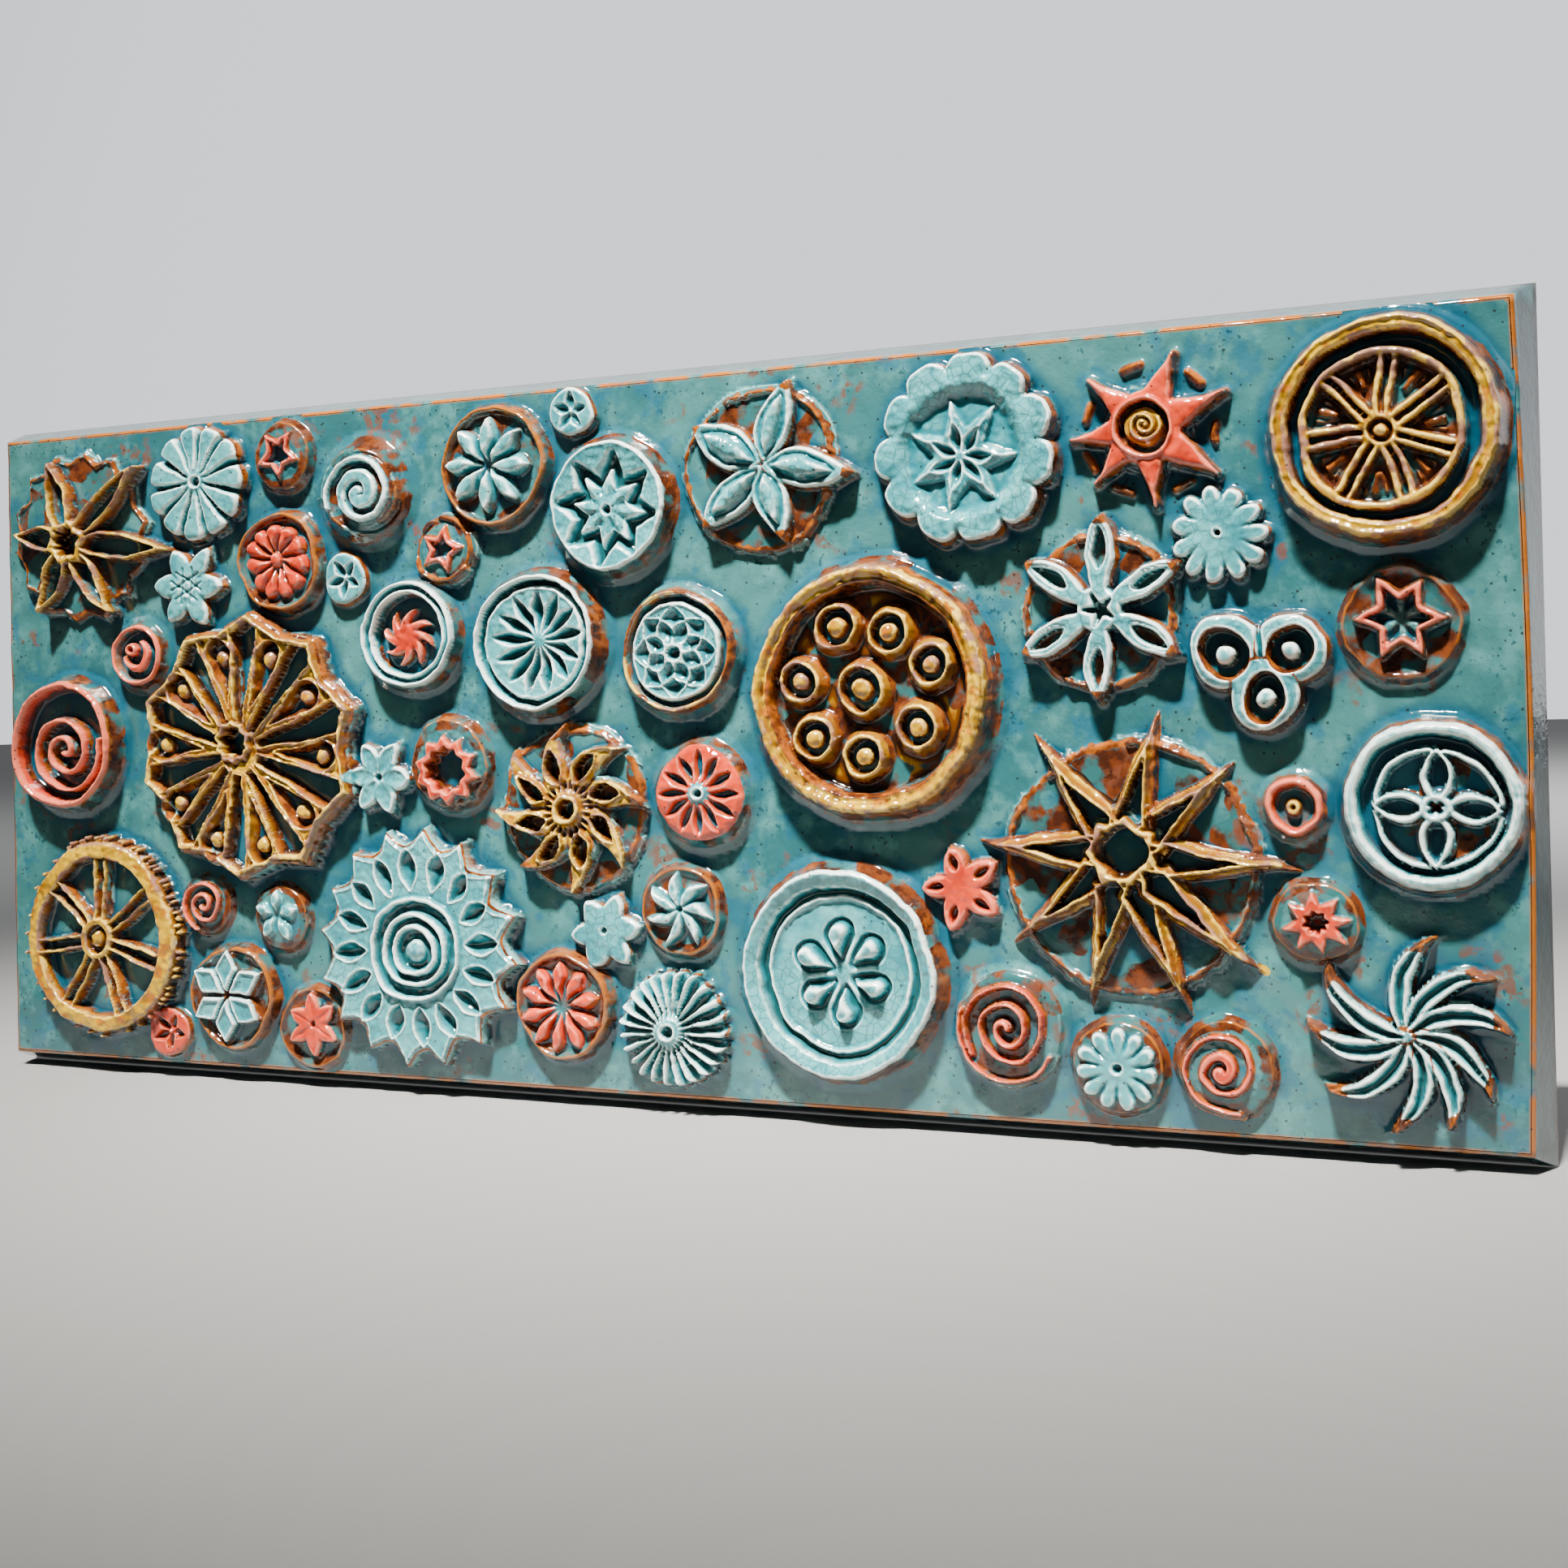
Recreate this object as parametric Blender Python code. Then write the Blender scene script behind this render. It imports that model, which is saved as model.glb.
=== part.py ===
"""A wall tile of glazed stoneware, covered with round medallions in relief.

One fired piece: a slab with slanting sides, and stars, flowers, wheels, dishes and coils that
stand out of its front. The front faces -Y, the flat back lies in the plane y = 0, and the
origin is the middle of the back. Each medallion is drawn in millimetres on a face of
DRAWN_WIDTH by DRAWN_HEIGHT, from the left edge and down from the top edge, and follows the
real face from there.
"""

import math

import bmesh
import bpy

# Driving dimensions in metres
FACE_WIDTH = 0.467
FACE_HEIGHT = 0.200
SLAB_THICKNESS = 0.012
SIDE_SLANT = 0.004
EDGE_BEVEL = 0.0012
RIGHT_EDGE_BOW = 0.0018
RELIEF_HEIGHT = 0.009

# The drawing that the medallions are laid out on, in millimetres
DRAWN_WIDTH = 467.0
DRAWN_HEIGHT = 200.0
DRAWN_RELIEF = 9.0
SINK = 2.2
FLARE = 0.9
ROOT_STEP = 0.017
ROOT_LEVELS = 23
BOW_STEPS = 6
PEAK = [(0.0, 0.0)]

GLAZE_COLOUR = (0.25, 0.47, 0.47, 1.0)
GLAZE_ROUGHNESS = 0.18

SCALE = min(FACE_WIDTH / DRAWN_WIDTH, FACE_HEIGHT / DRAWN_HEIGHT)

# Shapes in the order that they are joined: raised ones, then cuts, then what stands in the cuts
raised = []
cuts = []
insets = []


def clear_scene():
    for thing in list(bpy.data.objects):
        bpy.data.objects.remove(thing, do_unlink=True)


def place(centre, dx, dy, height):
    """A drawn point, (dx, dy) right of and above a medallion's centre, as a world point."""
    x = (centre[0] / DRAWN_WIDTH - 0.5) * FACE_WIDTH + dx * SCALE
    z = (0.5 - centre[1] / DRAWN_HEIGHT) * FACE_HEIGHT + dy * SCALE
    return x, -SLAB_THICKNESS - height / DRAWN_RELIEF * RELIEF_HEIGHT, z


def mesh_object(name, mesh_data):
    bmesh.ops.recalc_face_normals(mesh_data, faces=mesh_data.faces)
    mesh = bpy.data.meshes.new(name)
    mesh_data.to_mesh(mesh)
    mesh_data.free()
    thing = bpy.data.objects.new(name, mesh)
    bpy.context.scene.collection.objects.link(thing)
    return thing


def loft(name, rings):
    """A closed solid through rings of as many points each; a last ring of one point is a peak."""
    mesh_data = bmesh.new()
    loops = [[mesh_data.verts.new(point) for point in ring] for ring in rings]
    count = len(loops[0])
    for low, high in zip(loops, loops[1:]):
        for i in range(count):
            j = (i + 1) % count
            if len(high) == 1:
                mesh_data.faces.new((low[i], low[j], high[0]))
            else:
                mesh_data.faces.new((low[i], low[j], high[j], high[i]))
    mesh_data.faces.new(loops[0])
    if len(loops[-1]) > 1:
        mesh_data.faces.new(loops[-1])
    return mesh_object(name, mesh_data)


# Outlines: lists of (dx, dy) about a medallion's centre, anticlockwise


def polar(radius, degrees):
    angle = math.radians(degrees)
    return radius * math.cos(angle), radius * math.sin(angle)


def circle(radius, sides, turn=0.0):
    return [polar(radius, turn + 360 * i / sides) for i in range(sides)]


def star(tips, outer, inner, turn):
    step = 180 / tips
    return [polar(inner if i % 2 else outer, turn + i * step) for i in range(2 * tips)]


def blunt_star(tips, outer, inner, turn, tip_share=0.5):
    """A star whose tips are as wide as tip_share of their pitch."""
    pitch = 360 / tips
    points = []
    for i in range(tips):
        middle = turn + i * pitch
        points.append(polar(outer, middle - pitch * tip_share / 2))
        points.append(polar(outer, middle + pitch * tip_share / 2))
        points.append(polar(inner, middle + pitch / 2))
    return points


def uneven_star(arms, inner):
    """A star from (direction, length) of each arm; the valley of a narrow gap lies further out."""
    points = []
    even = 360 / len(arms)
    for i, (direction, length) in enumerate(arms):
        following = arms[(i + 1) % len(arms)][0] + (360 if i + 1 == len(arms) else 0)
        points.append(polar(length, direction))
        points.append(polar(inner * (even / (following - direction)) ** 0.8, (direction + following) / 2))
    return points


def bent_star(tips, outer, inner, turn, bend, width):
    """A star of bent leaves: valley, flank, tip, flank; bend turns each tip by that many degrees."""
    points = []
    for i in range(tips):
        direction = turn + 360 * i / tips
        flank = direction + bend * 0.3
        spread = math.degrees(width / 2 / (outer * 0.62))
        points.append(polar(inner, direction - 180 / tips))
        points.append(polar(outer * 0.62, flank - spread))
        points.append(polar(outer, direction + bend))
        points.append(polar(outer * 0.62, flank + spread))
    return points


def kite(direction, start, reach, width, bend=0.0, widest=0.4):
    """A pocket of four points, from the radius start to the radius reach."""
    middle = start + (reach - start) * widest
    spread = math.degrees(width / 2 / middle)
    flank = direction + bend * 0.3
    return [
        polar(start, direction),
        polar(middle, flank - spread),
        polar(reach, direction + bend * 0.6),
        polar(middle, flank + spread),
    ]


def fan(direction, start, reach, narrow, wide):
    """A pocket that widens outwards, with its corners at two radii."""
    half_narrow = math.degrees(narrow / 2 / start)
    half_wide = math.degrees(wide / 2 / reach)
    return [
        polar(start, direction - half_narrow),
        polar(reach, direction - half_wide),
        polar(reach, direction + half_wide),
        polar(start, direction + half_narrow),
    ]


def grown(outline, by):
    """The outline scaled up so that it lies about that much further out."""
    reach = sum(math.hypot(x, y) for x, y in outline) / len(outline)
    share = 1 + by / reach
    return [(x * share, y * share) for x, y in outline]


# Solids: each one starts sunk in the slab, a little deeper than the one before, so that it
# meets the face cleanly and no two undersides share a plane


def root(group):
    return -SINK - ROOT_STEP * (len(group) % ROOT_LEVELS)


def solid(group, centre, steps):
    """A solid through (outline, height) steps; a height may be a list, one for each point."""
    rings = []
    for outline, height in steps:
        heights = height if isinstance(height, list) else [height] * len(outline)
        rings.append([place(centre, x, y, level) for (x, y), level in zip(outline, heights)])
    group.append(loft("form", rings))


def raise_outline(group, centre, outline, height):
    """An outline that stands out of the face, with a slanting flank."""
    solid(group, centre, [(grown(outline, FLARE), root(group)), (outline, height)])


def sink_outline(centre, outline, floor):
    """A pocket cut from above down to the floor height."""
    top = DRAWN_RELIEF + 2 + ROOT_STEP * (len(cuts) % ROOT_LEVELS)
    solid(cuts, centre, [(outline, floor), (outline, top)])


def notch(centre, outline, surface, floor):
    """A pocket that has the outline at the surface height and ends in one point at the floor."""
    middle_x = sum(x for x, _ in outline) / len(outline)
    middle_y = sum(y for _, y in outline) / len(outline)
    share = 1 + 2 / (surface - floor)
    wide = [(middle_x + (x - middle_x) * share, middle_y + (y - middle_y) * share) for x, y in outline]
    solid(cuts, centre, [(wide, surface + 2), ([(middle_x, middle_y)], floor)])


def turned(group, centre, profile, sides, turn=0.0):
    """A turned solid from (radius, height) pairs, from its foot in; a radius of 0 is a peak."""
    foot_radius, foot_height = profile[0]
    steps = [(circle(foot_radius + 0.1 * (foot_height + SINK), sides, turn), root(group))]
    for radius, height in profile[1:]:
        steps.append((circle(radius, sides, turn) if radius else PEAK, height))
    solid(group, centre, steps)


def facetted(group, centre, outline, edge, crests, peak, share=0.5):
    """A star or petal with a ridge along each arm: crests are the heights at half its reach."""
    middle = [(x * share, y * share) for x, y in outline]
    levels = [crests[i % len(crests)] for i in range(len(outline))]
    foot = grown(outline, FLARE)
    solid(group, centre, [(foot, root(group)), (outline, edge), (middle, levels), (PEAK, peak)])


def coil(centre, outer, inner, turns, start, width, height, steps_a_turn=7):
    """A spiral ridge that winds inwards clockwise from the outer radius."""
    count = round(turns * steps_a_turn)
    bottom = root(raised)
    rings = []
    for i in range(count + 1):
        share = i / count
        direction = start - 360 * turns * share
        radius = outer + (inner - outer) * share
        half = width / 2 * min(1.0, radius / width)
        ring = []
        for reach, level in ((radius + half, bottom), (radius, height), (radius - half, bottom)):
            ring.append(place(centre, *polar(reach, direction), level))
        rings.append(ring)
    raised.append(loft("coil", rings))


def ball(group, centre, radius, height, sides=5):
    turned(group, centre, [(radius, 0.0), (radius * 0.85, height - radius * 0.55), (0, height)], sides)


def stud(centre, radius, height):
    """A ring with a ball in it."""
    profile = [(radius * 1.1, 0.0), (radius * 0.88, height), (radius * 0.5, height - 2.2)]
    turned(raised, centre, profile + [(0, height - 0.3)], 6)


# Families of medallions


def flower(group, centre, radius, height, petals, turn, valley=0.72, dip=1.0, blunt=0.5):
    """A flower of blunt petals that fall from its middle to its edge."""
    outline = blunt_star(petals, radius, radius * valley, turn, blunt)
    steps = [(grown(outline, FLARE), root(group)), (outline, height - dip), (PEAK, height)]
    solid(group, centre, steps)


def pointed_flower(group, centre, radius, height, petals, turn, valley=0.5, dip=0.9):
    """A flower of pointed petals that fall from its middle to its edge."""
    outline = star(petals, radius, radius * valley, turn)
    steps = [(grown(outline, FLARE), root(group)), (outline, height - dip), (PEAK, height)]
    solid(group, centre, steps)


def plate(centre, radius, rim, floor, sides=14):
    """A low disc with a thin rim."""
    turned(raised, centre, [(radius + 0.7, 0.0), (radius - 0.6, rim), (radius - 2, floor)], sides)


def dome(centre, radius, edge, height, sides=11):
    """A low dome with a steep flank."""
    turned(raised, centre, [(radius + 0.8, 0.0), (radius * 0.88, edge), (0, height)], sides)


def dish(centre, radius, height, wall, floor, sides=16):
    """A round dish: a rim of the wall's width round a sunk floor."""
    profile = [(radius + 1.3, 0.0), (radius - wall * 0.4, height), (radius - wall - 0.8, floor)]
    turned(raised, centre, profile, sides)


def pockets(centre, count, reach, start, width, turn, floor, bend=0.0, widest=0.4):
    """Leaf-shaped pockets round a centre."""
    for i in range(count):
        sink_outline(centre, kite(turn + 360 * i / count, start, reach, width, bend, widest), floor)


def notches(centre, count, reach, start, width, turn, surface, floor, bend=0.0, widest=0.5):
    """Leaf-shaped notches round a centre."""
    for i in range(count):
        outline = kite(turn + 360 * i / count, start, reach, width, bend, widest)
        notch(centre, outline, surface, floor)


# The medallions, from the left end to the right


def left_end():
    # Star of six unequal open leaves on a low disc
    turned(raised, (33, 33.3), [(28.4, 0.0), (27.4, 2.2)], 12, 5)
    arms = ((-5, 41), (39, 37), (105, 28), (169, 23), (239, 26), (306, 28.5))
    raise_outline(raised, (31.3, 35.3), uneven_star(arms, 8), 7)
    for direction, length in arms:
        sink_outline((31.3, 35.3), kite(direction, 5.5, length - 5, 4.6, 0, 0.25), 3)
    sink_outline((31.3, 35.3), circle(4, 6, 9), 1.5)
    # Daisy
    flower(raised, (82.8, 19.2), 18, 5, 11, 101, 0.8, 1.6)
    # Dome with a five-pointed hollow
    dome((114.6, 13), 11, 3.6, 4.5, 11)
    sink_outline((114.1, 12.5), star(5, 8, 3.4, -90), 2)
    # Small flower of six petals
    pointed_flower(raised, (78, 51.2), 14, 4, 6, -4)
    # Plate with a flower of eleven petals
    plate((113.2, 45), 15, 4.7, 3)
    flower(raised, (112.6, 45), 11.6, 5, 11, 93, 0.74, 1.4)
    # Ring with a knob
    dish((57, 71.8), 10.3, 4.5, 1.9, 1.4, 12)
    ball(raised, (55.4, 72.3), 3.6, 4)
    # Big coil in a ring
    dish((27.8, 99.8), 21, 8, 2.4, 2, 18)
    coil((28.6, 101), 14.6, 2.4, 2.1, 12, 4, 7.6, 8)
    # Open rosette: ten drops with a ball and ten slots between them
    raise_outline(raised, (101, 101.1), star(10, 40.5, 36.5, 86.8), 7.2)
    rosette = (99.3, 101.8)
    pockets(rosette, 10, 34, 15, 10.5, 104.8, 2.6, 0, 0.66)
    pockets(rosette, 10, 35.5, 10, 5.4, 86.8, 1, 0, 0.75)
    for i in range(10):
        x, y = polar(27.6, 104.8 + 36 * i)
        ball(insets, (rosette[0] + x, rosette[1] - y), 2.9, 6, 4)
    sink_outline((97.6, 99.8), circle(4.6, 6), 0.8)
    # Wheel with seven double spokes and a wide rim
    turned(raised, (41.8, 160.6), [(32, 0.0), (30.4, 6.4)], 22)
    for i in range(7):
        direction = 86 + 360 / 7 * i
        sink_outline((40.9, 160.9), fan(direction + 180 / 7, 8.4, 24.2, 4.2, 14.6), 1.2)
        sink_outline((40.9, 160.9), fan(direction, 9, 24.2, 1.4, 2.2), 2.6)
    sink_outline((40.6, 161), circle(3.4, 7), 4)
    # Small coil
    turned(raised, (82.2, 149.8), [(11, 0.0), (9.2, 2.4)], 10)
    coil((82.2, 149.8), 8.2, 1.2, 2.1, 250, 2.8, 4.6)
    # Small dome with a flower
    dome((111, 152.8), 10.5, 3, 3.8, 10)
    pointed_flower(raised, (110.5, 152.4), 6.6, 5.2, 5, 80)
    # Plate with six facetted kites
    plate((92.4, 177.8), 16, 4.3, 2.6)
    facetted(raised, (91.4, 177), star(6, 14, 5.6, 90), 4, [6, 4.2], 4.5)
    # Small disc with five slits
    turned(raised, (66.4, 189.4), [(8.8, 0.0), (8, 3)], 10)
    notches((66.4, 189.4), 5, 6.4, 0.8, 2.4, 60, 3, 1.6)
    # Small plate with a six-petalled star
    plate((122, 185.6), 12.4, 2.4, 1.4, 12)
    pointed_flower(raised, (122.7, 184.4), 9.4, 5, 6, 95)


def left_middle():
    # Snail dome
    turned(raised, (144.2, 25.6), [(17.4, 0.0), (14, 4.6), (10.8, 6.8)], 14)
    coil((144.6, 26.6), 10.4, 1.4, 2.2, 200, 4.4, 8.8, 8)
    # Plate with eight leaf petals
    plate((190.2, 21.4), 17.3, 4.6, 2.4, 16)
    facetted(raised, (188.8, 21.1), star(8, 15, 5.6, 88), 4, [5.6, 3.4], 3.8)
    # Small disc with a six-lobed dent
    turned(raised, (216.1, 8), [(8.1, 0.0), (7.2, 3)], 10)
    notch((216.1, 8), star(6, 5.4, 2.2, 90), 3, 1.4)
    # Disc with a sunk star and a star in it
    turned(raised, (228.8, 35.4), [(20.6, 0.0), (18, 6.5)], 16)
    sink_outline((228.4, 36.2), star(8, 14.6, 9, 82), 2.4)
    raise_outline(insets, (228.4, 36.2), star(8, 11.6, 6, 82), 5)
    # Small disc with five slits
    turned(raised, (136.8, 51.2), [(8.6, 0.0), (7.8, 3)], 10)
    notches((136.8, 51.2), 5, 6, 0.8, 2.4, 50, 3, 1.6)
    # Small dome with a five-pointed hollow
    dome((172.3, 44.3), 9.8, 2.8, 3.6, 10)
    sink_outline((172.3, 44.3), star(5, 7, 3, 75), 1.6)
    # Double ring with a pinwheel on its sunk floor
    dish((160, 68.7), 16.6, 6.5, 4.2, 1.2)
    raise_outline(raised, (159.9, 69.8), star(8, 8.8, 3.9, 80), 5)
    # Grooved disc in a tall ring
    turned(raised, (203.2, 72.4), [(21.6, 0.0), (19.6, 7.5), (17.4, 4.4), (16, 6.5)], 18)
    notches((205.2, 72.3), 13, 13.6, 2.6, 2.8, 90, 6.5, 4.2, 0, 0.7)
    # Domed disc with leaf-shaped flutes
    turned(raised, (255, 115.2), [(16.6, 0.0), (13.6, 4.6), (11, 6)], 14)
    notches((255, 115.4), 12, 12, 4, 2.9, 90, 6, 3.8, 0, 0.6)
    # Lotus disc in a thin ring
    turned(raised, (249, 76.7), [(18.3, 0.0), (16.8, 6), (15.4, 3.8), (13.6, 5.4)], 14)
    facetted(raised, (248.7, 76.8), star(8, 12.4, 6.8, 68), 5.2, [6.6, 5.8], 5.3)
    # Small flower of six petals
    pointed_flower(raised, (148.3, 110.6), 11.4, 4.5, 6, 118)
    # Dome with a sun ring
    dome((173.2, 106.6), 15, 4.8, 5.4)
    raise_outline(raised, (173.8, 108.4), star(9, 10.4, 7.6, 96), 7)
    sink_outline((173.8, 108.4), circle(6, 9), 3)
    # Pinwheel of eight bent open leaves
    raise_outline(raised, (213.8, 119.5), bent_star(8, 23.5, 8, 96, -30, 8), 6.2)
    pockets((213.8, 119.5), 8, 19, 7, 4, 96, 2.2, -30, 0.5)
    turned(raised, (213.6, 119.4), [(5.6, 0.0), (4, 7.3)], 6)
    sink_outline((213.6, 119.4), circle(2.6, 6), 3)
    # Sun disc: sixteen teeth, sixteen dents, rings and a boss
    raise_outline(raised, (161.6, 160.4), star(16, 35, 30, 84), 5.8)
    notches((161.6, 160.4), 16, 28.4, 19.4, 4.6, 95, 5.8, 3)
    rings = [(16.4, 0.0), (14.6, 7.4), (12.4, 6.1), (10.6, 7.6), (8.6, 6.1), (6.8, 7.4), (5, 6.1), (0, 7.5)]
    turned(raised, (161.9, 160.4), rings, 10)
    # Plate with ten petals
    plate((210, 175.4), 15, 4.6, 2.8)
    facetted(raised, (209.3, 176), star(10, 12.6, 6, 87), 3.8, [5.8, 4.2], 4)
    # Small flower of six petals
    pointed_flower(raised, (224.2, 154), 11, 4, 6, 8)
    # Small plate with a pinwheel
    plate((247.9, 147.7), 12.6, 3, 1.8, 12)
    raise_outline(raised, (247.8, 147.5), star(7, 11, 4.2, 60), 4.6)
    # Fluted round
    pointed_flower(raised, (245, 180.2), 16.6, 6, 20, 0, 0.88, 1.1)


def right_middle():
    # Five pointed leaf petals over a low disc
    turned(raised, (274, 28.1), [(23.4, 0.0), (22.4, 2.2)], 12)
    arms = ((71, 23.5), (150, 25), (222, 25), (284, 22), (351, 27))
    facetted(raised, (276.2, 26.9), uneven_star(arms, 6.5), 4.6, [7, 4], 5)
    # Scalloped flower with a star in its sunk middle
    raise_outline(raised, (333.3, 27.1), blunt_star(11, 24.6, 21.6, 85, 0.62), 6.2)
    sink_outline((332.9, 28.4), circle(15, 11), 3.4)
    facetted(insets, (332.8, 28.8), star(7, 14.2, 6, 103), 4.2, [6.4, 4.6], 5)
    # Seven-pointed star with a coiled middle
    arms = ((-84, 20), (-35, 22), (23, 21.5), (70, 20), (137, 20), (186, 20), (225, 19))
    raise_outline(raised, (380.9, 25.2), uneven_star(arms, 9.6), 5)
    turned(raised, (380.4, 25.4), [(9, 0.0), (7.6, 6.4), (5.4, 5.1), (0, 6.2)], 10)
    # Big ring full of ring-and-ball studs
    turned(raised, (305.9, 88.6), [(36.5, 0.0), (33.6, 7), (31.8, 9), (28.6, 2.4)], 20)
    stud((304.1, 88.2), 7.2, 7.4)
    around = ((113, 18.4), (62, 17), (17, 20), (-32, 18), (-89, 17), (-139, 19.2), (171, 18))
    for direction, reach in around:
        x, y = polar(reach, direction)
        stud((304.1 + x, 88.2 - y), 5.9, 6.6)
    # Six open leaves over a low disc
    turned(raised, (367.6, 70.1), [(20.6, 0.0), (19.6, 2)], 11)
    raise_outline(raised, (368.3, 69.4), bent_star(6, 23.5, 7, 88, 0, 8.4), 6.3)
    pockets((368.3, 69.4), 6, 20, 7, 4.2, 88, 2.6, 0, 0.5)
    # Small flower of nine petals
    flower(raised, (398.1, 52.5), 12.2, 4, 9, 100, 0.68, 0.8)
    # Trefoil of three lobes, each with a sunk drop and a ball
    for u, v, radius in ((399.6, 80.8, 9.6), (415, 81.2, 9.3), (408.3, 92, 8.8)):
        turned(raised, (u, v), [(radius + 0.9, 0.0), (radius - 0.6, 6.2 + radius / 50)], 9)
    for u, v, reach in ((399.4, 81.4, 6), (414.9, 81.6, 5.7), (408.3, 92.8, 5)):
        sink_outline((u, v), circle(reach, 6), 2)
        ball(insets, (u, v + 0.4), 2.6, 5.6, 4)
    # Big open star of nine arms on a low disc
    turned(raised, (373.6, 133.8), [(34, 0.0), (32.6, 2.4)], 14)
    arms = ((-4, 45), (39, 37), (76, 38), (128, 40), (176, 40), (217, 39), (255, 41), (292, 44), (320, 45))
    raise_outline(raised, (372.8, 131), uneven_star(arms, 13.5), 7.2)
    for direction, length in arms:
        sink_outline((372.8, 131), kite(direction, 9, length - 7, 5, 0, 0.3), 2.6)
    sink_outline((372.5, 130), circle(5, 8), 1)
    # Large dish with six drops
    turned(raised, (295.6, 162.9), [(30.5, 0.0), (27, 6.8), (25, 7.5), (20, 3.4)], 18)
    facetted(raised, (296, 162.7), star(6, 14.2, 5.4, 96), 4.6, [6.2, 4.2], 4.3)
    # Small flower of five petals
    pointed_flower(raised, (330, 140), 10.6, 4, 5, 38)
    # Coil on a low drum
    turned(raised, (341.6, 175.6), [(14.8, 0.0), (13, 3)], 12)
    coil((341.8, 175.6), 11.4, 1.2, 2.5, 215, 3.2, 6)


def right_end():
    # Big ring round a wheel with seven fan-shaped openings
    turned(raised, (437.8, 29.6), [(29, 0.0), (26.6, 6.6), (25, 8.5), (21.4, 2)], 20)
    turned(raised, (437, 29.9), [(20, 0.0), (19.2, 6.6)], 14)
    for i in range(7):
        sink_outline((437, 29.9), fan(84 + 360 / 7 * (i + 0.5), 6, 16.6, 2.2, 10.4), 2.6)
    # Small plate with a six-pointed hollow star
    plate((440.5, 75.6), 14.2, 2.4, 1.4, 12)
    raise_outline(raised, (440.3, 74.5), star(6, 10.6, 5.6, 0), 5)
    sink_outline((440.3, 74.5), star(6, 8, 4.2, 0), 2)
    # Small ring with a dot
    dish((414.6, 118.6), 7.2, 4.5, 1.4, 1.4, 10)
    ball(raised, (414.2, 118.8), 1.9, 3.6)
    # Ring round a thinner ring and an open cross
    profile = [(21, 0.0), (19.2, 6.8), (17.4, 6.9), (16.2, 1.5), (14.4, 6.2), (12.2, 1.5)]
    turned(raised, (446.8, 118.5), profile, 16)
    raise_outline(raised, (447.4, 119), bent_star(4, 13.4, 2.8, 88, 0, 6), 6.5)
    pockets((447.4, 119), 4, 10.8, 3.6, 2.8, 88, 2.8, 0, 0.5)
    # Dome with an eight-pointed star
    dome((419.3, 146.5), 11, 3.6, 4.4)
    raise_outline(raised, (419.8, 146.8), star(8, 7.8, 4, 98), 5.8)
    # Dome with a flower
    dome((370.2, 183.8), 12.6, 3.8, 4.4)
    flower(raised, (370, 184.1), 9.8, 5.9, 11, 90, 0.74, 0.8)
    # Dome with a coil
    dome((396.6, 182.6), 12.6, 3.6, 4.2)
    coil((396, 183.2), 9.6, 1.2, 2.2, 290, 3, 6.2)
    # Pinwheel of nine bent arms
    raise_outline(raised, (439.8, 172.4), bent_star(9, 23.5, 4.4, 96, -24, 6), 5.9)
    notches((439.8, 172.4), 9, 19, 5, 3, 96, 5.9, 3.6, -24)


def slab():
    """The slab: a slanting block with its front edges bevelled and its right edge bowed out."""
    half_width, half_height = FACE_WIDTH / 2, FACE_HEIGHT / 2

    def outline(grow, bow, y):
        points = [(-half_width - grow, y, -half_height - grow)]
        for i in range(BOW_STEPS + 1):
            share = i / BOW_STEPS
            z = (2 * share - 1) * (half_height + grow)
            points.append((half_width + grow + bow * math.sin(math.pi * share), y, z))
        points.append((-half_width - grow, y, half_height + grow))
        return points

    rings = [
        outline(SIDE_SLANT, 0.0, 0.0),
        outline(0.0, RIGHT_EDGE_BOW, -SLAB_THICKNESS + EDGE_BEVEL),
        outline(-EDGE_BEVEL, RIGHT_EDGE_BOW, -SLAB_THICKNESS),
    ]
    return loft("tile", rings)


def gather(name, things):
    """A hidden collection that a Boolean can read."""
    group = bpy.data.collections.new(name)
    bpy.context.scene.collection.children.link(group)
    group.hide_render = True
    for thing in things:
        bpy.context.scene.collection.objects.unlink(thing)
        group.objects.link(thing)
        thing.hide_render = True
        thing.display_type = "WIRE"
    return group


def join(tile, name, things, operation):
    modifier = tile.modifiers.new(name, "BOOLEAN")
    modifier.operation = operation
    modifier.operand_type = "COLLECTION"
    modifier.collection = gather(name, things)
    modifier.solver = "EXACT"


def glaze():
    material = bpy.data.materials.new("teal_glaze")
    material.use_nodes = True
    shader = material.node_tree.nodes["Principled BSDF"]
    shader.inputs["Base Color"].default_value = GLAZE_COLOUR
    shader.inputs["Roughness"].default_value = GLAZE_ROUGHNESS
    shader.inputs["Metallic"].default_value = 0.0
    return material


def main():
    clear_scene()
    left_end()
    left_middle()
    right_middle()
    right_end()
    tile = slab()
    join(tile, "raised", raised, "UNION")
    join(tile, "cuts", cuts, "DIFFERENCE")
    join(tile, "insets", insets, "UNION")
    tile.data.materials.append(glaze())


main()
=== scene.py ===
"""The look of the glazed relief tile: its carved medallions and its glazes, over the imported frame.

The relief is one height field over the face, in millimetres, worked out from named shapes. u runs
to the right from the left edge and v runs down from the top edge, as in the drawing that the solid
follows. The slab and each medallion are meshes cut from that field.
"""

import math

import bpy
import numpy as np
from mathutils import Matrix, Vector

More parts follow.
